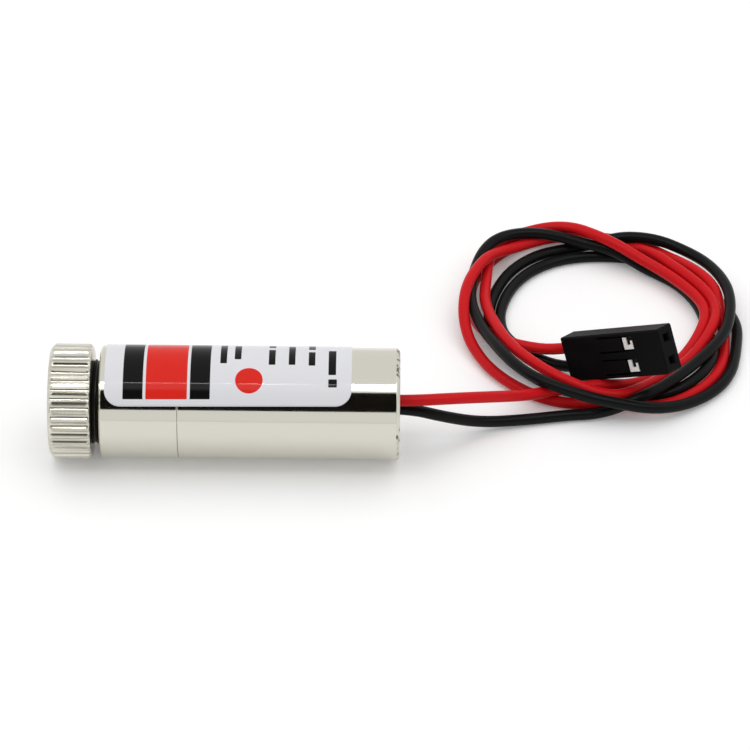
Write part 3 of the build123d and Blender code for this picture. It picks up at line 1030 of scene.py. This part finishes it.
    def build_cell(self, finishes: Finishes) -> None:
        """Build the lens cell with its fine thread.

        Args:
            finishes: Materials by slot.
        """
        root = self.cell_radius - self.thread_depth / 2
        outline = [
            (self.face_rear, self.cell_bore),
            (self.lens_front, self.cell_bore),
            (self.lens_front, self.pocket),
            (self.cell_rear, self.pocket),
            (self.cell_rear, root),
            (self.face_rear, root),
        ]
        material = finishes.materials[Slot.BLACKENED]
        mesh = spin("lens_cell_turned", outline, self.cell_segments)
        finish_mesh(mesh, TURNED_CREASE)
        mesh.materials.append(material)
        cell = shown("lens_cell_turned", mesh)
        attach(cell, Body.HEAD.value)
        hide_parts("lens_cell")
        length = self.cell_rear - self.ring_rear
        ridge = Winding(
            name="lens_cell_thread",
            start=self.ring_rear,
            length=length,
            radius=root,
            turns=length / self.thread_pitch,
            wire_radius=self.thread_depth,
            sides=self.thread_sides,
        )
        thread = shown(ridge.name, ridge.mesh(material))
        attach(thread, Body.HEAD.value)
        LOG.info("built %s and %s", cell.name, thread.name)

    def build_lens(self, finishes: Finishes) -> None:
        """Build the lens with its dome towards the beam's exit.

        Args:
            finishes: Materials by slot.
        """
        sphere = (self.dome_base ** 2 + self.dome_height ** 2) / (2 * self.dome_height)
        half_angle = math.asin(self.dome_base / sphere)
        top = self.lens_front - self.dome_height
        outline: Outline = []
        for step in range(self.dome_steps + 1):
            angle = half_angle * step / self.dome_steps
            outline.append((top + sphere * (1 - math.cos(angle)), sphere * math.sin(angle)))
        outline.append((self.lens_front, self.lens_radius))
        outline.append((self.lens_rear, self.lens_radius))
        outline.append((self.lens_rear, 0.0))
        mesh = spin("focus_lens_ground", outline, self.lens_segments, closed=False)
        finish_mesh(mesh, LENS_CREASE)
        mesh.materials.append(finishes.materials[Slot.GLASS])
        piece = shown("focus_lens_ground", mesh)
        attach(piece, Body.HEAD.value)
        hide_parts("focus_lens")
        LOG.info("built %s", piece.name)

    def build(self, finishes: Finishes) -> None:
        """Build the ring, the cell and the lens.

        Args:
            finishes: Materials by slot.
        """
        self.build_ring(finishes)
        self.build_cell(finishes)
        self.build_lens(finishes)


@dataclass
class FocusSpring:
    """Spring behind the lens cell, wound from the cell to the web."""

    front: float = FocusHead.cell_rear
    rear: float = Barrel.web_front
    radius: float = 3.475
    wire_radius: float = 0.225
    clearance: float = 0.04
    turns: float = 4.0
    sides: int = 10

    def build(self, finishes: Finishes) -> None:
        """Wind the spring between the cell and the barrel.

        Args:
            finishes: Materials by slot.
        """
        first = self.front + self.wire_radius + self.clearance
        length = self.rear - self.wire_radius - self.clearance - first
        coil = Winding(
            name="focus_spring_wound",
            start=first,
            length=length,
            radius=self.radius,
            turns=self.turns,
            wire_radius=self.wire_radius,
            sides=self.sides,
        )
        piece = shown(coil.name, coil.mesh(finishes.materials[Slot.SPRING]))
        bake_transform(piece)
        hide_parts("focus_spring")
        LOG.info("built %s", piece.name)


@dataclass
class Sticker:
    """Printed sticker over the top of the barrel."""

    start: float = -15.2
    length: float = 25.95
    height: float = 18.0
    radius: float = 6.09
    wrap_radius: float = 6.0
    thickness: float = 0.08
    corner: float = 1.7
    low_angle: float = 34.5
    skew: float = 2.4
    columns: int = 72
    corner_steps: int = 12
    middle_steps: int = 10

    def print_blocks(self) -> tuple[PrintBlock, ...]:
        """Return the printed fields: a striped panel, a dot and short bars."""
        panel = (0.75, 17.25)
        panel_corner, dot_corner, bar_corner = 0.1, 1.45, 0.08
        blocks = [
            PrintBlock((1.95, 11.1), panel, panel_corner, INK_BLACK),
            PrintBlock((4.05, 9.0), panel, panel_corner, PAPER),
            PrintBlock((4.35, 8.7), panel, panel_corner, INK_RED),
            PrintBlock((13.72, 16.62), (1.35, 4.25), dot_corner, INK_RED),
        ]
        for left, right, low, high in (
            (12.1, 12.8, 4.9, 9.2),
            (13.6, 14.3, 5.5, 8.8),
            (17.2, 17.9, 4.7, 7.4),
            (19.3, 20.0, 4.7, 8.6),
            (21.4, 22.1, 4.6, 6.9),
            (17.2, 17.9, 8.0, 12.6),
            (19.3, 20.0, 9.2, 12.0),
            (21.4, 22.1, 7.5, 10.4),
            (23.5, 24.3, 3.4, 7.2),
            (23.5, 24.4, 2.0, 2.9),
        ):
            blocks.append(PrintBlock((left, right), (low, high), bar_corner, INK_BLACK))
        return tuple(blocks)

    def inset(self, along: float) -> float:
        """Return how far the rounded corners pull the long edges in.

        Args:
            along: Distance from the front edge in millimetres.

        Returns:
            Distance in millimetres.
        """
        reach = self.corner - min(along, self.length - along)
        if reach <= 0:
            return 0.0
        return self.corner - math.sqrt(max(self.corner ** 2 - reach ** 2, 0.0))

    def rows(self) -> list[float]:
        """Return the places along the sticker, closer together at the rounded ends."""
        turn = math.pi / 2 / self.corner_steps
        ends = [self.corner * (1 - math.cos(turn * step)) for step in range(self.corner_steps + 1)]
        stretch = (self.length - 2 * self.corner) / self.middle_steps
        middle = [self.corner + stretch * step for step in range(1, self.middle_steps)]
        return ends + middle + [self.length - end for end in reversed(ends)]

    def build(self, finishes: Finishes) -> None:
        """Bend the sheet round the barrel and dress it.

        Args:
            finishes: Materials by slot.
        """
        rows = self.rows()
        places: list[Place] = []
        flat: list[tuple[float, float]] = []
        for along in rows:
            low = self.inset(along)
            edge = math.radians(self.low_angle + self.skew * (along / self.length - 0.5))
            for column in range(self.columns + 1):
                across = low + (self.height - 2 * low) * column / self.columns
                lift = edge + across / self.wrap_radius
                y, z = -self.radius * math.cos(lift), self.radius * math.sin(lift)
                places.append(((self.start + along) * MM, y * MM, z * MM))
                flat.append((along / self.length, across / self.height))
        width = self.columns + 1
        faces = []
        for row in range(len(rows) - 1):
            for column in range(self.columns):
                corner = row * width + column
                faces.append((corner, corner + width, corner + width + 1, corner + 1))
        mesh = bpy.data.meshes.new("label_sheet")
        mesh.from_pydata(places, [], faces)
        layer = mesh.uv_layers.new(name="flat_sheet")
        for loop in mesh.loops:
            layer.data[loop.index].uv = flat[loop.vertex_index]
        mesh.shade_smooth()
        mesh.materials.append(finishes.materials[Slot.PAPER])
        piece = shown("label_sheet", mesh)
        body = piece.modifiers.new("thickness", "SOLIDIFY")
        body.thickness = self.thickness * MM
        body.offset = -1.0
        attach(piece, Body.MODULE.value)
        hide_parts("label")
        LOG.info("built %s", piece.name)


@dataclass(frozen=True)
class Lead:
    """One lead: given points to the coil, stations of its turns, and points to the connector.

    A station is (angle in degrees from the near side, radius, height) about the coil's middle.
    """

    name: str
    slot: Slot
    exit: Place
    start: tuple[Place, ...]
    stations: tuple[Place, ...]
    tail: tuple[Place, ...]
    length: float
    replaced: tuple[str, ...]
    carried: tuple[str, ...]


# Height of a lead's middle where it lies on the floor
FLOOR = -5.475

RED_LEAD = Lead(
    name="red_cord",
    slot=Slot.RED_WIRE,
    exit=(15.35, -0.35, 0.75),
    start=(
        (11.65, -0.35, 0.75), (16.65, -0.35, 0.75), (21.6, 0.75, 0.3), (26.3, 3.4, -1.5),
        (29.6, 6.2, -3.5),
    ),
    stations=(
        (-20, 14.7, -4.2), (-8, 13.25, -4.2), (0, 12.8, -4.25), (8, 12.3, -4.7), (20, 11.8, -5.35),
        (33, 11.5, FLOOR), (45, 11.4, FLOOR), (56, 11.4, -5.3), (67, 11.6, -4.9), (78, 11.95, -4.4),
        (90, 12.35, -4.25), (100, 12.35, -4.22), (110, 11.9, -4.22), (121, 11.5, -4.2), (135, 11.35, -4.2),
        (146, 11.4, -4.05), (153, 11.5, -3.85), (160, 11.75, -3.5), (168, 12.2, -3.15), (176, 12.8, -2.85),
        (182, 13.7, -2.85), (188, 14.9, -3.0), (194, 15.75, -3.3), (200, 16.7, -3.8), (206, 17.3, -4.4),
        (212, 17.7, -4.6), (218, 17.2, -4.5), (224, 16.3, -4.3), (230, 15.3, -4.25), (236, 14.4, -4.2),
        (243, 13.55, -4.2), (250, 13.0, -4.2), (260, 12.5, -4.0), (271, 12.0, -3.75), (283, 11.75, -3.4),
        (293, 11.8, -3.15), (303, 12.1, -2.95), (313, 12.45, -2.9), (324, 12.95, -2.8), (335, 13.75, -2.75),
        (344, 14.4, -2.9), (351, 14.7, -3.3), (358, 14.9, -3.9), (366, 15.0, -4.3), (373, 14.7, -4.35),
        (379, 14.0, -4.5), (388, 13.1, -4.9), (399, 12.65, -5.0), (413, 12.65, -4.85), (426, 12.75, -4.55),
        (437, 13.1, -4.2), (448, 13.5, -4.15), (457, 13.55, -4.2), (466, 13.3, -4.2), (477, 12.9, -4.2),
        (490, 12.7, -4.22), (500, 12.9, -4.25), (507, 13.4, -4.35), (514, 14.0, -4.75), (521, 14.5, -5.2),
        (530, 14.95, FLOOR), (540, 15.35, -5.1), (548, 15.3, -4.7), (555, 15.15, -4.4), (562, 14.95, -4.3),
        (570, 14.85, -4.25), (578, 14.75, -4.1), (586, 14.6, -3.5), (594, 14.4, -3.0), (604, 14.2, -2.9),
        (616, 14.15, -3.0), (628, 14.25, -3.6), (637, 14.35, -4.3), (646, 14.4, -5.0), (656, 14.3, FLOOR),
        (668, 14.55, FLOOR), (680, 14.75, FLOOR), (690, 14.95, FLOOR), (700, 15.05, FLOOR),
        (712, 14.75, FLOOR), (721, 14.4, FLOOR), (727, 14.55, FLOOR), (733, 15.1, FLOOR),
        (739, 15.7, FLOOR), (745, 16.0, FLOOR), (755, 16.05, FLOOR), (765, 15.85, FLOOR),
        (773, 15.6, FLOOR), (782, 15.1, FLOOR), (792, 14.4, FLOOR), (802, 14.05, FLOOR), (812, 13.9, FLOOR),
        (820, 14.05, -5.1), (827, 14.35, -4.6), (835, 14.25, -4.35), (846, 14.1, -4.45), (855, 14.3, -4.9),
        (865, 14.85, FLOOR), (876, 15.4, FLOOR), (888, 15.7, FLOOR), (900, 15.85, FLOOR),
        (912, 16.25, FLOOR), (924, 16.6, FLOOR), (935, 16.5, FLOOR), (944, 16.15, FLOOR),
        (955, 15.75, FLOOR), (964, 15.25, FLOOR), (973, 14.6, FLOOR), (982, 14.0, FLOOR), (991, 13.4, -5.3),
        (1000, 12.85, -4.8), (1009, 12.4, -4.3),
    ),
    tail=((29.1, 15.8, -4.15), (33.3, 14.4, -3.7), (36.36, 12.56, -1.29)),
    length=293.0,
    replaced=("red_lead", "red_tail", "wire_coil"),
    carried=("connector_housing", "crimped_cores", "red_terminal"),
)

BLACK_LEAD = Lead(
    name="black_cord",
    slot=Slot.BLACK_WIRE,
    exit=(15.35, 0.35, -0.75),
    start=(
        (11.65, 0.35, -0.75), (16.65, 0.35, -0.75), (20.6, 1.1, -2.5), (24.6, 3.2, -4.9),
        (29.4, 4.4, -5.45),
    ),
    stations=(
        (-12, 16.9, FLOOR), (0, 16.2, FLOOR), (6, 16.05, -5.1), (11, 15.9, -4.5), (16, 15.7, -4.2),
        (23, 15.3, -4.2), (32, 14.7, -4.2), (45, 14.15, -4.35), (57, 14.15, -4.35), (68, 14.4, -4.35),
        (79, 14.7, -4.3), (90, 14.85, -4.2), (103, 15.3, -4.2), (117, 15.75, -4.4), (130, 16.3, -4.8),
        (138, 16.45, -4.95), (145, 16.3, -4.8), (151, 15.9, -4.4), (158, 15.35, -4.2), (164, 14.9, -4.2),
        (170, 14.5, -4.3), (176, 14.2, -4.85), (183, 14.05, -5.3), (190, 14.05, FLOOR), (197, 13.95, FLOOR),
        (204, 13.75, -5.3), (212, 13.45, -5.2), (221, 13.15, -5.2), (232, 12.75, -5.3), (243, 12.35, FLOOR),
        (256, 12.05, FLOOR), (272, 11.85, FLOOR), (288, 11.75, FLOOR), (302, 11.75, FLOOR),
        (320, 12.0, FLOOR), (340, 12.6, FLOOR), (358, 12.95, FLOOR), (367, 13.1, FLOOR), (373, 13.6, FLOOR),
        (378, 14.2, FLOOR), (384, 14.85, -5.35), (394, 15.3, -5.0), (404, 15.4, -4.75), (413, 15.25, -4.65),
        (422, 14.85, -4.7), (430, 14.3, -5.0), (438, 13.5, -5.4), (446, 12.95, FLOOR), (455, 12.65, FLOOR),
        (468, 12.5, FLOOR), (481, 12.3, FLOOR), (492, 12.15, FLOOR), (500, 12.0, FLOOR), (507, 11.9, -5.4),
        (514, 11.95, -5.1), (521, 12.15, -4.7), (528, 12.4, -4.4), (536, 12.7, -4.22), (543, 13.1, -4.15),
        (549, 13.55, -3.95), (555, 14.0, -3.55), (561, 14.45, -3.2), (567, 15.3, -3.15), (573, 16.0, -3.15),
        (579, 16.4, -3.15), (585, 16.3, -3.1), (591, 16.0, -3.4), (598, 15.5, -3.9), (606, 14.9, -4.22),
        (615, 14.3, -4.22), (625, 13.75, -4.22), (635, 13.2, -4.2), (645, 12.95, -4.1), (653, 12.95, -3.85),
        (661, 13.2, -3.5), (669, 13.65, -3.25), (677, 14.2, -3.1), (685, 14.8, -3.0), (693, 15.35, -2.9),
        (702, 15.8, -2.9), (709, 16.2, -3.0), (715, 16.4, -3.3), (721, 16.5, -3.5), (727, 16.75, -3.85),
        (733, 17.1, -4.2), (739, 17.2, -4.6), (746, 17.15, -5.0), (754, 17.0, -5.35), (762, 16.9, FLOOR),
        (773, 16.65, FLOOR), (781, 16.15, FLOOR), (789, 15.55, FLOOR), (798, 15.15, FLOOR),
        (810, 14.95, FLOOR), (823, 14.2, FLOOR), (836, 13.7, FLOOR), (850, 13.5, FLOOR), (865, 13.3, FLOOR),
        (876, 13.2, FLOOR), (884, 13.0, FLOOR), (893, 12.75, FLOOR), (905, 12.6, FLOOR), (914, 12.5, FLOOR),
        (924, 12.3, FLOOR), (936, 11.95, FLOOR), (950, 11.45, FLOOR), (967, 10.95, FLOOR),
        (982, 10.75, FLOOR), (994, 10.65, FLOOR), (1005, 10.4, FLOOR),
    ),
    tail=((28.9, 17.4, FLOOR), (30.6, 15.5, FLOOR), (34.15, 13.57, -5.46), (37.05, 11.46, -3.475)),
    length=288.0,
    replaced=("black_lead", "black_tail", "wire_coil"),
    carried=("black_terminal",),
)


@dataclass
class LooseCoil:
    """Both leads, wound three times into one loose coil on the floor."""

    leads: tuple[Lead, ...]
    diameter: float = 1.25
    centre: tuple[float, float] = (37.7, 21.8)
    step: float = 9.0
    rounds: int = 260
    between: int = 3
    near_steps: int = 4
    least_distance: float = 0.000001
    ease: float = 0.15
    order: int = 3
    bevel_steps: int = 5
    curve_steps: int = 6

    def turns(self, lead: Lead) -> np.ndarray:
        """Work out the points of a lead's turns from its stations.

        Args:
            lead: Lead to wind.

        Returns:
            Points in millimetres, one for each step of the angle.
        """
        stations = np.array(lead.stations, float)
        angles, values = stations[:, 0], stations[:, 1:]
        slopes = np.zeros_like(values)
        slopes[1:-1] = (values[2:] - values[:-2]) / (angles[2:] - angles[:-2])[:, None]
        count = round((angles[-1] - angles[0]) / self.step)
        points = []
        for angle in np.linspace(angles[0], angles[-1], count + 1):
            index = min(max(int(np.searchsorted(angles, angle)) - 1, 0), len(angles) - 2)
            span = angles[index + 1] - angles[index]
            t = (angle - angles[index]) / span
            radius, height = (
                (2 * t ** 3 - 3 * t ** 2 + 1) * values[index]
                + (t ** 3 - 2 * t ** 2 + t) * span * slopes[index]
                + (3 * t ** 2 - 2 * t ** 3) * values[index + 1]
                + (t ** 3 - t ** 2) * span * slopes[index + 1]
            )
            turn = math.radians(angle - 90)
            x, y = self.centre
            points.append((x + radius * math.cos(turn), y + radius * math.sin(turn), height))
        return np.array(points)

    def close_points(self, wire: np.ndarray) -> np.ndarray:
        """Set measuring points evenly between a wire's own points.

        Args:
            wire: Points in millimetres.

        Returns:
            All the points, shaped (run, place, axis).
        """
        share = (np.arange(self.between) / self.between)[None, :, None]
        return wire[:-1, None] * (1 - share) + wire[1:, None] * share

    def pushes(self, wires: list[np.ndarray]) -> list[np.ndarray]:
        """Work out how far each run has to move to clear the strands that it lies in.

        Args:
            wires: Points of every lead.

        Returns:
            Moves of the close points of every lead.
        """
        clouds = [self.close_points(wire).reshape(-1, 3) for wire in wires]
        points = np.concatenate(clouds)
        owner = np.concatenate([np.full(len(cloud), index) for index, cloud in enumerate(clouds)])
        order = np.concatenate([np.arange(len(cloud)) for cloud in clouds])
        apart = points[:, None] - points[None]
        distance = np.linalg.norm(apart, axis=2)
        steps_apart = np.abs(order[:, None] - order[None])
        same_run = (owner[:, None] == owner[None]) & (steps_apart < self.near_steps * self.between)
        lack = np.where(same_run, 0.0, np.clip(self.diameter - distance, 0.0, None))
        away = apart / np.maximum(distance, self.least_distance)[..., None]
        move = (away * lack[..., None]).sum(1) / np.maximum((lack > 0).sum(1), 1)[:, None] / 2
        ends = np.cumsum([len(cloud) for cloud in clouds])[:-1]
        return [part.reshape(-1, self.between, 3) for part in np.split(move, ends)]

    def settle(self, wires: list[np.ndarray], free: list[np.ndarray]) -> None:
        """Move the turns apart where strands lie in each other, and keep them on the floor.

        Args:
            wires: Points of every lead, changed in place.
            free: 1 for a point that may move and 0 for one that is held.
        """
        begun = [wire.copy() for wire in wires]
        share = np.arange(self.between) / self.between
        for _ in range(self.rounds):
            for index, push in enumerate(self.pushes(wires)):
                wire = wires[index]
                active = np.linalg.norm(push, axis=2) > 0
                move = np.zeros_like(wire)
                weight = np.zeros(len(wire))
                move[:-1] += (push * (1 - share)[None, :, None]).sum(1)
                move[1:] += (push * share[None, :, None]).sum(1)
                weight[:-1] += (active * (1 - share)).sum(1)
                weight[1:] += (active * share).sum(1)
                shift = wire + move / np.maximum(weight, 1.0)[:, None] - begun[index]
                shift[1:-1] += self.ease * (shift[:-2] + shift[2:] - 2 * shift[1:-1])
                wire[:] = begun[index] + shift * free[index][:, None]
                wire[:, 2] = np.maximum(wire[:, 2], FLOOR)

    def build(self, finishes: Finishes) -> None:
        """Wind, settle and dress both leads.

        Args:
            finishes: Materials by slot.
        """
        wires, free = [], []
        for lead in self.leads:
            coil = self.turns(lead)
            wires.append(np.concatenate([np.array(lead.start), coil, np.array(lead.tail)]))
            held_start, held_tail = np.zeros(len(lead.start)), np.zeros(len(lead.tail))
            free.append(np.concatenate([held_start, np.ones(len(coil)), held_tail]))
        self.settle(wires, free)
        for lead, wire in zip(self.leads, wires):
            self.draw(lead, wire, finishes)

    def draw(self, lead: Lead, wire: np.ndarray, finishes: Finishes) -> None:
        """Args:
            lead: Lead to draw.
            wire: Its settled points in millimetres.
            finishes: Materials by slot.
        """
        curve = bpy.data.curves.new(lead.name, "CURVE")
        curve.dimensions = "3D"
        curve.bevel_depth = self.diameter / 2 * MM
        curve.bevel_resolution = self.bevel_steps
        curve.resolution_u = self.curve_steps
        curve.use_fill_caps = True
        spline = curve.splines.new("NURBS")
        spline.points.add(len(wire) - 1)
        for point, place in zip(spline.points, wire):
            point.co = (*(place * MM), 1.0)
        spline.order_u = self.order
        spline.use_endpoint_u = True
        curve.materials.append(finishes.materials[lead.slot])
        piece = shown(lead.name, curve)
        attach(piece, Body.MODULE.value)
        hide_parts(*lead.replaced)
        LOG.info("built %s", piece.name)


NODE_FINISHES = {
    "lens_retainer": Slot.BLACKENED,
    "diode_base": Slot.GOLD,
    "diode_can": Slot.GOLD,
    "diode_window": Slot.GLASS,
    "diode_pins": Slot.GOLD,
    "driver_board": Slot.BOARD,
    "driver_chip": Slot.CHIP,
    "chip_resistors": Slot.CHIP,
    "chip_capacitor": Slot.CERAMIC,
    "lead_cores": Slot.COPPER,
    "solder_joints": Slot.SOLDER,
    "rear_plug": Slot.PLUG,
    "connector_housing": Slot.CONNECTOR,
    "crimped_cores": Slot.COPPER,
    "red_terminal": Slot.TERMINAL,
    "black_terminal": Slot.TERMINAL,
}


@dataclass(frozen=True)
class PhotoCamera:
    """Camera at the photograph's viewing angle."""

    target: Place = (13.192, 5.032, 0.0)
    distance: float = 420.0
    elevation: float = 38.0
    roll: float = 0.596
    lens: float = 187.86
    sensor: float = 36.0
    clip: tuple[float, float] = (0.01, 10.0)

    def build(self) -> None:
        """Make the camera and set it as the scene's own."""
        lift, roll = math.radians(self.elevation), math.radians(self.roll)
        forward = Vector((0.0, math.cos(lift), -math.sin(lift)))
        level = Vector((1.0, 0.0, 0.0))
        upright = Vector((0.0, math.sin(lift), math.cos(lift)))
        right = level * math.cos(roll) + upright * math.sin(roll)
        up = upright * math.cos(roll) - level * math.sin(roll)
        place = Vector(self.target) * MM - forward * self.distance * MM
        data = bpy.data.cameras.new("photo_camera")
        data.lens = self.lens
        data.sensor_width = self.sensor
        data.clip_start, data.clip_end = self.clip
        camera = shown("photo_camera", data)
        turn = Matrix((right, up, -forward)).transposed()
        camera.matrix_world = Matrix.Translation(place) @ turn.to_4x4()
        bpy.context.scene.camera = camera


@dataclass(frozen=True)
class SoftBox:
    """Rectangular lamp that faces the module."""

    name: str
    size: tuple[float, float]
    distance: float
    azimuth: float
    elevation: float
    radiance: float
    mirrored: bool = True
    lights: bool = True

    def build(self, aim: Vector) -> None:
        """Make the lamp.

        Args:
            aim: Point that it faces, in metres.
        """
        turn, lift = math.radians(self.azimuth), math.radians(self.elevation)
        back = Vector((
            math.sin(turn) * math.cos(lift),
            -math.cos(turn) * math.cos(lift),
            math.sin(lift),
        ))
        data = bpy.data.lights.new(self.name, "AREA")
        data.shape = "RECTANGLE"
        data.size, data.size_y = self.size[0] * MM, self.size[1] * MM
        data.energy = self.radiance * math.pi * data.size * data.size_y
        lamp = shown(self.name, data)
        lamp.visible_glossy = self.mirrored
        lamp.visible_diffuse = self.lights
        facing = back.to_track_quat("Z", "Y").to_matrix().to_4x4()
        lamp.matrix_world = Matrix.Translation(aim + back * self.distance * MM) @ facing


@dataclass(frozen=True)
class Studio:
    """Pale floor, soft light and the dark card that the plating mirrors."""

    ambient: float = 0.62
    backdrop: float = 0.94
    floor_colour: float = 0.92
    floor_lift: float = 0.14
    floor_size: float = 3.0
    matt: float = 0.9
    card_distance: float = 330.0
    card_elevation: float = 41.5
    card_size: tuple[float, float] = (900.0, 234.0)
    card_colour: Colour = (0.012, 0.010, 0.009)
    lamps: tuple[SoftBox, ...] = (
        SoftBox(
            name="strip_lamp",
            size=(900.0, 80.0),
            distance=420.0,
            azimuth=0.0,
            elevation=70.0,
            radiance=1.5,
        ),
        SoftBox(
            name="edge_lamp",
            size=(900.0, 9.0),
            distance=420.0,
            azimuth=0.0,
            elevation=76.5,
            radiance=30.0,
            lights=False,
        ),
        SoftBox(
            name="top_lamp",
            size=(900.0, 700.0),
            distance=700.0,
            azimuth=180.0,
            elevation=75.0,
            radiance=0.95,
            mirrored=False,
        ),
    )

    def seen_directly(self, tree: NodeBuilder) -> bpy.types.NodeSocket:
        """Add the nodes that tell camera, mirror and glass rays from the rest.

        Args:
            tree: Nodes to add to.

        Returns:
            Output that is 1 for such a ray.
        """
        path = tree.add("ShaderNodeLightPath").outputs
        total = path["Is Camera Ray"]
        for key in ("Is Glossy Ray", "Is Transmission Ray"):
            most = tree.add("ShaderNodeMath", {0: total, 1: path[key]}, operation="MAXIMUM")
            total = most.outputs["Value"]
        return total

    def build_world(self) -> None:
        """Light the scene evenly and show a white backdrop."""
        world = bpy.data.worlds.new("light_tent")
        bpy.context.scene.world = world
        world.use_nodes = True
        nodes = NodeBuilder(world.node_tree)
        inputs = {"Value": self.seen_directly(nodes), "To Min": self.ambient, "To Max": self.backdrop}
        level = nodes.add("ShaderNodeMapRange", inputs).outputs["Result"]
        ground = world.node_tree.nodes["Background"]
        nodes.feed(ground.inputs["Color"], (*WHITE, 1.0))
        nodes.feed(ground.inputs["Strength"], level)

    def build_floor(self, height: float) -> None:
        """Make the floor, which shows white but keeps the module's shadow.

        Args:
            height: Level of the floor in metres.
        """
        half = self.floor_size / 2
        mesh = bpy.data.meshes.new("pale_floor")
        square = ((-half, -half), (half, -half), (half, half), (-half, half))
        mesh.from_pydata([(x, y, height) for x, y in square], [], [(0, 1, 2, 3)])
        paint = ShaderTree("pale_floor")
        paint.paint(
            Base_Color=(self.floor_colour, self.floor_colour, self.floor_colour, 1.0),
            Roughness=self.matt,
            Specular_IOR_Level=0.0,
            Emission_Color=(*WHITE, 1.0),
            Emission_Strength=paint.spread(self.seen_directly(paint), 0.0, self.floor_lift),
        )
        mesh.materials.append(paint.material)
        shown("pale_floor", mesh)

    def build_card(self, aim: Vector) -> None:
        """Make the dark card in front of the module, seen only in its plating.

        Args:
            aim: Point that it faces, in metres.
        """
        lift = math.radians(self.card_elevation)
        back = Vector((0.0, -math.cos(lift), math.sin(lift)))
        across = Vector((0.0, math.sin(lift), math.cos(lift)))
        middle = aim + back * self.card_distance * MM
        side = Vector((self.card_size[0] / 2 * MM, 0.0, 0.0))
        rise = across * self.card_size[1] / 2 * MM
        mesh = bpy.data.meshes.new("dark_card")
        corners = [middle - side - rise, middle + side - rise, middle + side + rise, middle - side + rise]
        mesh.from_pydata(corners, [], [(0, 1, 2, 3)])
        mesh.materials.append(Plastic("dark_card", self.card_colour, self.matt, specular=0.0).make())
        card = shown("dark_card", mesh)
        card.visible_camera = False
        card.visible_diffuse = False
        card.visible_shadow = False

    def build(self) -> None:
        """Build the world, the floor, the card and the lamps."""
        aim = Vector((0.0, 0.0, 0.0))
        self.build_world()
        self.build_floor(CAD_BOX[0].z)
        self.build_card(aim)
        for lamp in self.lamps:
            lamp.build(aim)


def main() -> None:
    """Build the camera, the leads, the turned pieces, the sticker and the studio."""
    logging.basicConfig(level=logging.INFO, format="%(message)s")
    bpy.context.scene.view_settings.view_transform = "Standard"
    sticker = Sticker()
    finishes = Finishes(sticker)
    PhotoCamera().build()
    LooseCoil((RED_LEAD, BLACK_LEAD)).build(finishes)
    Barrel().build(finishes)
    FocusHead().build(finishes)
    FocusSpring().build(finishes)
    sticker.build(finishes)
    for node, slot in NODE_FINISHES.items():
        finishes.dress(node, slot)
    Studio().build()


if __name__ == "__main__":
    main()
